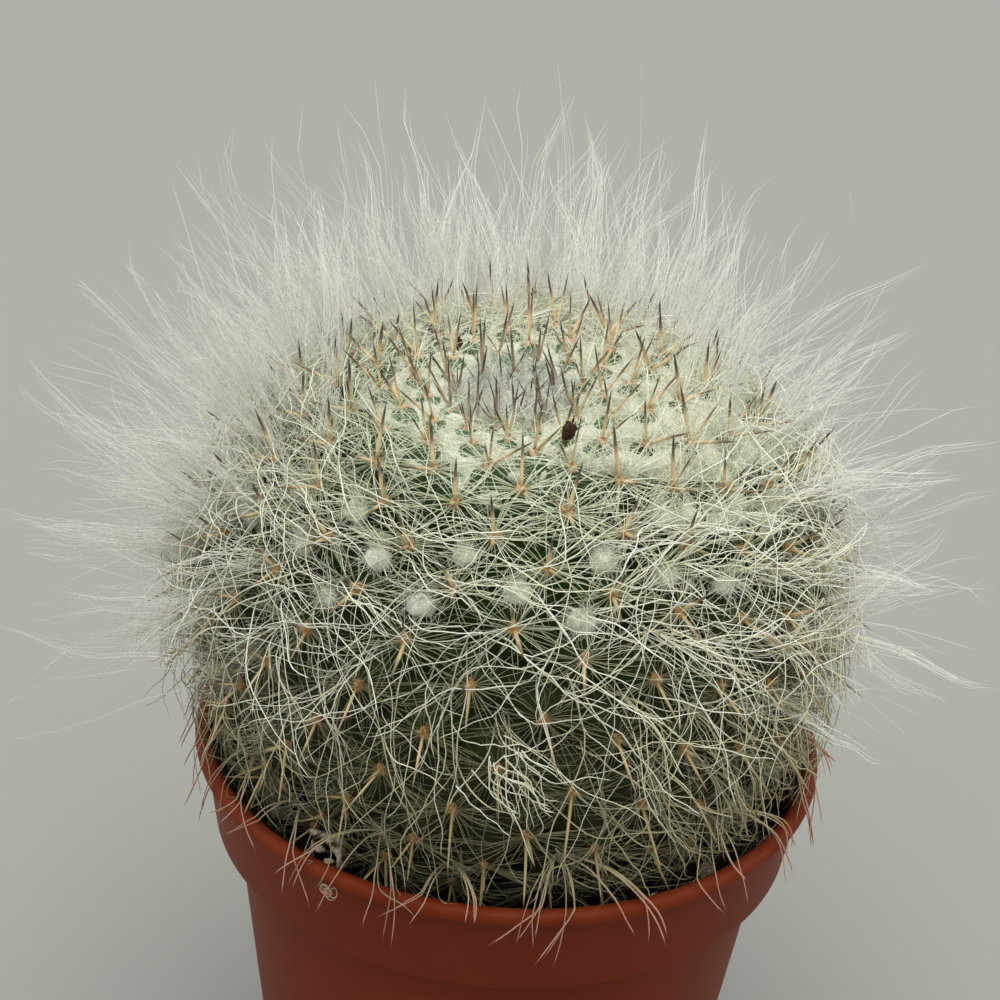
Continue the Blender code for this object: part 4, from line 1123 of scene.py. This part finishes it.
def erect_hairs(lattice, chance):
    """Long hairs that stand out from the axils into a loose halo, most of them in locks.

    A lock leaves near the surface normal, bends with the square of the way along and waves;
    a single hair is a lock of its own, with a wider choice of aim.
    """
    keep = lattice.from_number(HALO_FIRST)
    keep = keep[lattice.height[keep] > HALO_LOWEST]
    side_on = 1 - smooth(0.10, 0.66, lattice.front[keep])
    onset = 18 + 20 * smooth(-0.6, 0.1, lattice.front[keep])
    young = smooth(44, 90, keep - onset)
    low = smooth(HALO_LOWEST, 62 * MM, lattice.height[keep])
    sideways = lattice.sideways[keep]
    fewer = 1 - 0.12 * smooth(-0.7, 0.0, sideways) - 0.34 * smooth(0.2, 0.8, sideways)
    share = side_on * young * (0.35 + 0.65 * low) * fewer
    locks = np.floor(4.8 * share + chance.uniform(0, 1, len(keep)) * (share > 0.02)).astype(int)
    singles = np.floor(24 * share + chance.uniform(0, 1, len(keep))).astype(int)
    homes = np.concatenate([np.repeat(keep, locks), np.repeat(keep, singles)])
    members = np.concatenate([chance.integers(8, 17, locks.sum()), np.ones(singles.sum(), int)])
    out = outward(lattice.axil[homes])
    stray = np.where(members == 1, 0.30, 0.22)[:, None] * chance.normal(0, 1, (len(homes), 3))
    aim = unit(out + stray + 0.10 * WORLD_UP)
    start = lattice.axil[homes] - out * 1.6 * MM
    reach = chance.uniform(0, 1, len(homes)) ** 0.58
    reach = SHORT_REACH + (HAIR_REACH - SHORT_REACH) * reach
    reach = reach * (1 - 0.07 * smooth(0.3, 0.8, lattice.sideways[homes]))
    grown = 0.55 + 0.45 * smooth(66, 104, homes)
    length = (reach - np.linalg.norm(start, axis=1)) * grown * 1.05
    length = np.maximum(length, 4 * MM)
    bend = 0.30 * chance.normal(0, 1, (len(homes), 3)) - 0.08 * WORLD_UP
    steps = LOCK_STATIONS - 1
    wave = waves(chance, np.linspace(0, 1, LOCK_STATIONS), aim, 0.045 * length)

    def centre(lock, share):
        """A lock's path at a share of its length, with its wave found between its stations."""
        step = np.clip(share * steps, 0, steps - 0.001)
        whole = step.astype(int)
        part = (step - whole)[..., None]
        sway = wave[lock[:, None], whole] * (1 - part) + wave[lock[:, None], whole + 1] * part
        along = aim[lock][:, None] * share[..., None]
        along = along + 0.5 * bend[lock][:, None] * (share ** 2)[..., None]
        return start[lock][:, None] + length[lock][:, None, None] * along + sway

    lock = np.repeat(np.arange(len(homes)), members)
    t = np.linspace(0, 1, 8)
    path = lock_hairs(chance, t, lock, centre, aim, 0.45, 1.4 * MM)
    path = np.concatenate([path[:, :1], keep_off(path[:, 1:], 0.4 * MM)], axis=1)
    size = np.linalg.norm(path, axis=-1)
    path = path * np.minimum(1, HAIR_REACH / size)[..., None]
    thick = tapered(chance.uniform(0.032, 0.050, len(lock)), t, 0.6)
    tone = ageing(seat(start[lock])[:, 2]) * 0.9 + chance.normal(0, 0.12, len(lock))
    return homes[lock], (path, thick, np.clip(tone, 0, 1))


def roam(chance, start, right, up, heading, length, turning, stations):
    """Paths over a tangent plane: the heading turns at a steady rate and sways on a slow sine.

    The steps along each path are equal, and are summed from its start.
    """
    t = np.linspace(0, 1, stations)
    count = len(start)
    turn = (turning * chance.normal(0, 1, count) * length / (10 * MM))[:, None] * t
    pace, phase = chance.uniform(0.6, 1.6, (2, count, 1))
    sway = chance.uniform(0.1, 0.5, (count, 1)) * np.sin(2 * np.pi * (pace * t + phase))
    quick = np.sin(2 * np.pi * (3.1 * pace * t + 3 * phase))
    sway = sway + chance.uniform(0.05, 0.28, (count, 1)) * quick
    angle = heading[:, None] + turn + sway - sway[:, :1]
    step = right[:, None] * np.cos(angle)[..., None] + up[:, None] * np.sin(angle)[..., None]
    walked = np.cumsum(step, axis=1) - step[:, :1]
    return start[:, None] + walked * (length / (stations - 1))[:, None, None]


def over_lip(path):
    """Paths in the plant's frame, raised to pass over the pot's lip where they would cross it."""
    seated = seat(path)
    reach = np.hypot(seated[..., 0], seated[..., 1])
    clear = smooth(25.0 * MM, 26.3 * MM, reach) * (POT_HEIGHT + 0.5 * MM)
    seated[..., 2] = np.maximum(seated[..., 2], clear)
    return unseat(seated)


def draped_hairs(lattice, chance):
    """Long hairs that leave the axils and lie over the spines, roaming as they go.

    Every point is brought to a lying height over the tubercles, which rises quickly from the
    axil and then drifts, so that hairs cross over and under each other.
    """
    keep = lattice.from_number(DRAPED_FIRST)
    front = smooth(-0.5, 0.8, lattice.front[keep])
    band = smooth(74, 112, keep) * (1 - 0.76 * smooth(140, 200, keep))
    sideways = lattice.sideways[keep]
    left = smooth(0.15, 0.8, -sideways) * band
    right = smooth(0.1, 0.8, sideways) * smooth(90, 140, keep)
    each = (2.4 + 9.0 * front) * band + 10.0 * left + 4.5 * right
    each = np.floor(each + chance.uniform(0, 1, len(keep))).astype(int)
    home = np.repeat(keep, each)
    count = len(home)
    low = smooth(120, 225, home)
    rightward = chance.uniform(0, 1, count) < 0.5 + 0.45 * low * lattice.sideways[home]
    heading = np.where(rightward, -low * 0.9, np.pi + low * 0.9) + chance.normal(0, 0.45, count)
    hangs = chance.uniform(0, 1, count) < 0.62 * smooth(118, 165, home)
    heading = np.where(hangs, -np.pi / 2 + chance.normal(0, 0.4, count), heading)
    length = chance.uniform(5, 17, count) * (1 - 0.30 * low) * MM
    out = outward(lattice.axil[home])
    start = lattice.axil[home] - out * 1.2 * MM + 0.9 * MM * chance.normal(0, 1, (count, 3))
    path = roam(chance, start, lattice.right[home], lattice.up[home], heading, length, 0.34, 15)
    t = np.linspace(0, 1, 15)
    path = path - WORLD_UP * (0.10 * length[:, None] * t * t)[..., None]
    rest = chance.uniform(0.8, 3.7, count)[:, None]
    rest = rest + 0.35 * np.sin(9 * t + chance.uniform(0, 6, (count, 1)))
    lifted = chance.uniform(0, 1, count) < 0.16 * smooth(0.0, 0.5, lattice.front[home])
    rise = chance.uniform(-1.0, 1.6, count) + lifted * chance.uniform(1.0, 5.0, count)
    height = -2.2 + (rest + 2.2) * (1 - np.exp(-5.0 * t)) + rise[:, None] * t * t
    path = over_lip(lie_at(path, height * MM))
    thick = tapered(chance.uniform(0.040, 0.078, count), t, 0.50, 1.5)
    # Hairs lower on the body take a darker tone: partly older hair, partly painted shade low on the
    # plant. Shaded darkens the lower right ones further, also as painted shade.
    tone = 0.10 + 0.90 * smooth(53 * MM, 67 * MM, seat(path[:, 7])[:, 2])
    shaded = smooth(0.3, 0.8, lattice.sideways[home])
    shaded = shaded * (1 - smooth(56 * MM, 70 * MM, seat(start)[:, 2]))
    tone = tone * (1 - 0.5 * shaded) + 0.22 * shaded
    tone = np.clip(tone * chance.uniform(0.6, 1.15, count), 0, 1)
    return home, (path, thick, tone)


def combed_hairs(lattice, chance):
    """Long hairs on the right, all swept down and outwards, the lowest out over the lip."""
    weight = smooth(0.05, 0.5, lattice.sideways) * smooth(100, 140, lattice.number)
    weight = weight * lattice.grown * smooth(-0.4, 0.2, lattice.front)
    count = COMBED_HAIRS
    home = chance.choice(lattice.number, count, p=weight / weight.sum())
    low = smooth(120, 225, home)
    heading = -0.35 - 0.55 * low + chance.normal(0, 0.24, count)
    length = chance.uniform(5, 13, count) * MM
    start = lattice.axil[home] - outward(lattice.axil[home]) * 0.8 * MM
    path = roam(chance, start, lattice.right[home], lattice.up[home], heading, length, 0.12, 13)
    t = np.linspace(0, 1, 13)
    rest = chance.uniform(0.8, 3.0, count)[:, None] * (1 - np.exp(-5 * t)) - 0.8 * (1 - t) ** 4
    height = rest + chance.uniform(-0.2, 2.2, count)[:, None] * t * t
    path = over_lip(lie_at(path, height * MM))
    thick = tapered(chance.uniform(0.045, 0.080, count), t, 0.5, 1.5)
    level = seat(path[:, 6])[:, 2]
    # Hairs lower down take a darker tone, partly older hair and partly painted shade. The extra
    # rise above 62 mm is painted light on the right shoulder.
    tone = 0.22 + 0.36 * smooth(50 * MM, 72 * MM, level) + 0.40 * smooth(62 * MM, 74 * MM, level)
    return path, thick, np.clip(tone * chance.uniform(0.6, 1.1, count), 0, 1)


def tangled_hairs(lattice, chance):
    """A loose tangle of bright hairs caught on the spines low on the front."""
    count = TANGLED_HAIRS
    right, up = lattice.right[TANGLE], lattice.up[TANGLE]
    along, rise = chance.normal(0, 1, (2, count, 1)) * MM
    start = lattice.tip[TANGLE] + right * (0.5 * MM + 1.2 * along) + up * (2.6 * MM + 0.9 * rise)
    length = chance.uniform(3.0, 7.0, count) * MM
    heading = chance.normal(-0.95, 0.75, count)
    path = roam(chance, start, np.tile(right, (count, 1)), np.tile(up, (count, 1)), heading,
                length, 1.3, 15)
    path = lie_at(path, chance.uniform(2.2, 4.4, (count, 1)) * MM)
    thick = tapered(chance.uniform(0.050, 0.075, count), np.linspace(0, 1, 15), 0.4)
    return path, thick, chance.uniform(0.5, 0.9, count)


def build_down(lattice, chance):
    """Short curly hairs in the axils: white from the crown to the puffs, dull low on the sides."""
    keep = lattice.from_number(*DOWN_NUMBERS)
    sideways = lattice.sideways[keep]
    edge = np.minimum(1, smooth(0.45, 0.95, sideways) + smooth(0.45, 0.95, -sideways))
    behind = smooth(-0.1, 0.7, -lattice.front[keep]) * (1 - smooth(90, 150, keep))
    shoulder = np.maximum(smooth(0.10, 0.55, sideways), 0.8 * smooth(0.25, 0.8, -sideways))
    shoulder = np.maximum(shoulder, 0.5 * behind)
    shoulder = shoulder * smooth(20, 44, keep) * (1 - smooth(96, 126, keep))
    ahead = smooth(0.2, 0.7, lattice.front[keep])
    each = (8 + 20 * smooth(36, 70, keep)) * (1 - smooth(90, 130, keep)) * (1 - 0.55 * ahead)
    each = each + (36 + 26 * smooth(0.1, 0.4, sideways)) * shoulder
    each = each + ((36 + 16 * (sideways < 0)) * edge + 12 * behind) * smooth(56, 80, keep)
    home = np.repeat(keep, each.astype(int))
    count, arc = len(home), lattice.arc[home]
    out = outward(lattice.axil[home])
    aim = unit(out + 0.42 * chance.normal(0, 1, (count, 3)))
    start = lattice.axil[home] - out * 1.1 * MM * smooth(0, 9 * MM, arc)[:, None]
    start = start + 0.55 * MM * chance.normal(0, 1, (count, 3))
    length = chance.uniform(1.6, 4.2, count) * (0.55 + 0.45 * smooth(0, 10 * MM, arc)) * MM
    path = curled(chance, start, aim, length, 5, 0.13, 0.9)
    thick = tapered(chance.uniform(0.024, 0.036, count), np.linspace(0, 1, 5), 0.5)
    tone = chance.uniform(0.8, 1, count) * (1 - 0.40 * smooth(120, 190, home))
    tones = (0.44, 0.39, 0.22), (0.86, 0.82, 0.62), (0.98, 0.96, 0.87)
    finish = strand_finish("down", tones, (0.90, 0.89, 0.76), 0.1, rough=0.8)
    strand_piece("axil_down", finish, "axil_hair", (path, thick, tone))


def build_rim_hairs(lattice, chance):
    """Low hairs that lean out over the pot's lip and hang a few millimetres down its outside.

    Each follows a cubic curve in the pot's frame, from its axil up and over the lip to an end
    below it.  Most fork.  A few short ones lie curled against the collar at the front left.
    """
    finish = rim_hair_finish()
    axil = seat(lattice.axil)
    lowest, highest = RIM_ROOTS
    keep = np.flatnonzero(lattice.grown & (axil[:, 2] > lowest) & (axil[:, 2] < highest))
    turn_of = np.arctan2(axil[keep, 1], axil[keep, 0])
    stems = RIM_STEMS
    bearing = 2 * np.pi * (np.arange(stems) + chance.uniform(-0.35, 0.35, stems)) / stems
    away = np.abs((turn_of[None] - bearing[:, None] + np.pi) % (2 * np.pi) - np.pi)
    start = axil[keep[np.argmin(away, axis=1)]]
    hair = np.repeat(np.arange(stems), chance.integers(1, 4, stems))
    count = len(hair)
    turn = bearing[hair] + chance.normal(0, 0.012, count)
    inset = np.minimum(1.0, 24.6 * MM / np.hypot(start[:, 0], start[:, 1]))
    start = (start * np.stack([inset, inset, np.ones(stems)], axis=-1))[hair]
    slant = chance.normal(0, 0.06, stems)[hair]
    over = about(27.9 * MM, turn + 0.45 * slant, chance.uniform(48.7, 49.8, stems)[hair] * MM)
    drop = (43.6 + 4.2 * chance.uniform(0, 1, stems) ** 0.8)[hair]
    drop = drop + chance.uniform(-0.6, 0.6, count)
    end = about(chance.uniform(28.3, 29.3, count) * MM, turn + slant, drop * MM)
    up = start * 0.45 + over * 0.55 + [0.0, 0.0, 1.6 * MM]
    t = np.linspace(0, 1, 15)
    path = sum(share[:, None] * corner[:, None] for share, corner in (
        ((1 - t) ** 3, start), (3 * t * (1 - t) ** 2, up), (3 * t ** 2 * (1 - t), over),
        (t ** 3, end)))
    path = path + waves(chance, t, unit(end - start), np.full(count, 0.15 * MM))
    part = chance.normal(0, 0.048, (count, 1)) * np.clip((t - 0.66) / 0.34, 0, 1)
    x, y = path[..., 0], path[..., 1]
    path = np.stack([x * np.cos(part) - y * np.sin(part), x * np.sin(part) + y * np.cos(part),
                     path[..., 2]], axis=-1)
    thick = tapered(chance.uniform(0.062, 0.098, count), t, 0.35, 3)
    clear = ~near_husk(path)
    hairs = only(clear, (path, thick, chance.uniform(0, 1, count)))
    strand_piece("rim_hair", finish, "axil_hair", hairs, collar_curls(chance), seated=False)


def collar_curls(chance):
    """Loops of fallen hair on the collar's outside: a circle that opens as it goes round."""
    each = (CURLS, 1)
    t = np.linspace(0, 1, 22)
    turn = CURL_TURN + chance.normal(0, 0.018, each)
    height = chance.uniform(46.1, 47.0, each) * MM
    wide = chance.uniform(0.28, 0.50, each) * MM
    swing = chance.uniform(0, 2 * np.pi, each) + chance.uniform(4.5, 8.0, each) * t
    across = wide * (0.7 + 0.5 * t) * np.cos(swing)
    level = height + wide * (0.7 + 0.5 * t) * np.sin(swing)
    reach = LIP_RADIUS + chance.uniform(0.15, 0.35, each) * MM + 0.25 * MM * np.sin(3 * t) ** 2
    path = about(reach, turn + across / reach, level)
    return path, np.full(across.shape, 0.045 * MM), chance.uniform(0.3, 0.8, CURLS)


def quarter_of(bearing):
    """Which quarter of the plant a bearing is in, counted from the back right."""
    return np.floor(((bearing / (2 * np.pi)) % 1.0) * 4).astype(int)


def build_hair(lattice, chance):
    """The hairs, parted into quarters round the plant, each standing for the CAD tufts in it."""
    tones = (0.24, 0.20, 0.09), (0.66, 0.62, 0.42), (0.93, 0.95, 0.83)
    finish = strand_finish("long_hair", tones, (0.70, 0.71, 0.55), 0.08, rough=0.5)
    pale = strand_finish("halo_hair", ((0.62, 0.56, 0.44), (0.88, 0.88, 0.83)),
                         (0.97, 0.95, 0.84), 0.45)
    home, hairs = erect_hairs(lattice, chance)
    tufts = [f"hair_tuft_{number:02d}" for number in range(1, 23)]
    middle = np.array([box_middle(tuft) for tuft in tufts]) - CENTRE_ROW
    tuft_quarter = quarter_of(np.arctan2(middle[:, 1], middle[:, 0]))
    for quarter, name in enumerate(("back_right", "back_left", "front_left", "front_right")):
        nodes = [tuft for tuft, where in zip(tufts, tuft_quarter) if where == quarter]
        part = only(quarter_of(lattice.turn[home]) == quarter, hairs)
        strand_piece(f"halo_hair_{name}", pale, "axil_hair", part, nodes=nodes)
    home, hairs = draped_hairs(lattice, chance)
    clear = ~near_husk(seat(hairs[0]))
    front = lattice.front[home] > 0.1
    for name, part in (("front", front), ("back", ~front)):
        strand_piece(f"draped_hair_{name}", finish, "axil_hair", only(part & clear, hairs))
    strand_piece("combed_hair", finish, "axil_hair", combed_hairs(lattice, chance),
                 tangled_hairs(lattice, chance))
    build_down(lattice, chance)
    build_rim_hairs(lattice, chance)


# ---------------------------------------------------------------- small remains

def lathe_along(path, radius, sides, chance, rough):
    """Rings along one path, each point's radius shaken by a share."""
    along = unit(np.gradient(path, axis=0))
    side = unit(np.cross(along, [0.31, 0.87, 0.39]))
    lift = np.cross(side, along)
    turn = whole_turn(sides)[:, None]
    size = radius[:, None, None] * (1 + rough * chance.normal(0, 1, (len(path), sides, 1)))
    return path[:, None] + (side[:, None] * np.cos(turn) + lift[:, None] * np.sin(turn)) * size


def build_flowers(chance):
    """Dried flower remains: a papery tube that swells into a dark shrivelled head."""
    finish = dead_petals()
    crest = 7
    for number, long, head_radius, right, up in FLOWERS:
        node = f"dried_flower_{number}"
        base = unseat(box_middle(node))
        base = base / stretch(base)
        out = outward(base)
        aim = unit(out + np.array([right, 0.0, 0.0]) + up * WORLD_UP)
        t = np.linspace(0, 1, 14)
        path = base - out * 2.0 * MM + aim * (long * t * MM)[:, None]
        radius = np.interp(t, [0, 0.55, 0.68, 0.80, 0.93, 1.0], [0.36, 0.42, 0.62, 1.0, 0.85, 0.35])
        rings = lathe_along(path, radius * head_radius * MM, 12, chance, 0.14)
        shape = Shape()
        shape.skin(rings[::-1], path[-1], path[0], across=(0.1, 0.5), along=(1.0, 0.0))
        shape.places = [place[:, ::-1] for place in shape.places]  # U runs along it, as on a strand
        shape.piece(f"flower_remains_{number}", finish, [node], outwards=True)
        lean = unit(aim + 0.35 * chance.normal(0, 1, (crest, 3)))
        rise = np.linspace(0, 1, 5)[:, None] * chance.uniform(0.9, 1.6, (crest, 1, 1))
        thick = np.full((crest, 5), 0.14 * head_radius * MM)
        wisps = path[-2] + lean[:, None] * rise * head_radius * MM, thick, np.full(crest, 0.9)
        strand_piece(f"flower_wisps_{number}", finish, "dried_flower", wisps)


def chips(shape, chance, places, size):
    """Small rough flakes: flattened balls, each point's distance from the middle shaken."""
    flake = ball(5, 8, 0.35, math.pi - 0.35) * [1.0, 0.65, 0.6] * size
    for place in places:
        rough = flake * chance.uniform(0.75, 1.25, (5, 8, 1))
        shape.skin((place + rough)[::-1], place - [0, 0, 0.6 * size], place + [0, 0, 0.6 * size],
                   across=(0.7, 0.9), along=(0.9, 1.0))


def build_husk(chance):
    """A flat strip of dry husk, curled most of the way round, with flakes on it, by the wall.

    The strip's middle line is an arc in a plane that stands and faces out of the pot.
    """
    middle = box_middle("dry_husk") + [0.0, 0.0, 0.9 * MM]
    out = unit(middle * [1, 1, 0])
    upward = np.array([0.0, 0.0, 1.0])
    across = np.cross(upward, out)
    t = np.linspace(0, 1, 26)[:, None]
    bend = 4.6 * t - 1.1
    arc = middle + (1.85 - 0.55 * t) * MM * (across * np.cos(bend) + upward * np.sin(bend))
    width = out * (0.35 + 0.45 * np.sin(np.pi * t) ** 0.6) * MM
    thick = 0.10 * MM * unit(arc - middle)
    rings = np.stack([arc + wide * width + deep * thick for wide, deep in
                      ((1, 1), (0.2, 1.8), (-1, 1), (-1, -1), (0.2, -0.4), (1, -1))], axis=1)
    rings = rings + 0.05 * MM * chance.normal(0, 1, rings.shape)
    shape = Shape()
    shape.skin(rings, rings[0].mean(axis=0), rings[-1].mean(axis=0))
    flakes = [middle + (sideways * across + rise * upward + 0.5 * out) * MM
              for sideways, rise in ((-1.1, 1.5), (-0.5, 0.1), (0.6, -0.6))]
    chips(shape, chance, flakes, 0.5 * MM)
    shape.piece("curled_husk", husk_finish(), ["dry_husk"],
                seated=False, outwards=True)


def build_speck(chance):
    """A dark chip of dry matter caught among the spines at the back of the crown."""
    shape = Shape()
    chips(shape, chance, [seat(SPECK_PLACE)], 0.6 * MM)
    shape.piece("dark_chip", bpy.data.materials["dead_petals"],
                seated=False, outwards=True)


def finish_grit():
    """The grains of grit are the CAD's own, with their looks from here."""
    stones = grit_finish()
    for number in range(1, 5):
        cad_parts[f"grit_{number}"].material_slots[0].material = stones


# ---------------------------------------------------------------- studio

def build_studio():
    """A wide pale floor, an even sky, a large soft lamp overhead and faint ones at both sides."""
    half = GROUND_HALF
    mesh = bpy.data.meshes.new("studio_floor")
    mesh.from_pydata([(-half, -half, 0), (half, -half, 0), (half, half, 0), (-half, half, 0)],
                     [], [(0, 1, 2, 3)])
    mesh.materials.append(Finish("studio_floor", Base_Color=GROUND_COLOUR, Roughness=0.9).made)
    floor = bpy.data.objects.new("studio_floor", mesh)
    bpy.context.scene.collection.objects.link(floor)
    world = bpy.data.worlds.new("studio")
    bpy.context.scene.world = world
    world.use_nodes = True
    sky = world.node_tree.nodes["Background"]
    sky.inputs["Color"].default_value = SKY_COLOUR
    sky.inputs["Strength"].default_value = SKY_STRENGTH
    for name, place, size, power, colour in LAMPS:
        lamp = bpy.data.lights.new(name, "AREA")
        lamp.shape, lamp.size, lamp.energy, lamp.color = "SQUARE", size, power, colour
        made = bpy.data.objects.new(name, lamp)
        made.location = place
        aim = Vector((0, 0, 0.05)) - Vector(place)
        made.rotation_euler = aim.to_track_quat("-Z", "Y").to_euler()
        bpy.context.scene.collection.objects.link(made)


def build_camera():
    """The camera looks at the rim's middle from in front and above, then is turned and rolled."""
    lens = bpy.data.cameras.new("camera")
    lens.lens, lens.sensor_width = CAMERA_LENS, SENSOR
    lens.clip_start = 0.01
    made = bpy.data.objects.new("camera", lens)
    bpy.context.scene.collection.objects.link(made)
    tilt = Matrix.Rotation(math.pi / 2 - CAMERA_ELEVATION, 4, "X")
    back = tilt @ Vector((0, 0, CAMERA_DISTANCE))
    turn = Matrix.Rotation(AIM_ACROSS, 4, "Y") @ Matrix.Rotation(AIM_DOWN, 4, "X")
    turn = tilt @ turn @ Matrix.Rotation(CAMERA_ROLL, 4, "Z")
    made.matrix_world = Matrix.Translation(Vector((0, 0, POT_HEIGHT)) + back) @ turn
    bpy.context.scene.camera = made


def main():
    """Builds every piece in turn; the order settles which random numbers each one gets."""
    chance = np.random.default_rng(SEED)
    lattice = Lattice()
    build_camera()
    build_studio()
    build_pot()
    build_soil(chance)
    build_stem(lattice)
    build_felt(lattice, chance)
    build_radials(lattice, chance)
    build_centrals(lattice, chance)
    build_puffs(lattice, chance)
    build_crown_wool(chance)
    build_wool_fill(lattice, chance)
    build_hair(lattice, chance)
    build_flowers(chance)
    build_husk(chance)
    build_speck(chance)
    finish_grit()
    bpy.context.scene.view_settings.view_transform = "Standard"
    bpy.context.view_layer.update()


main()
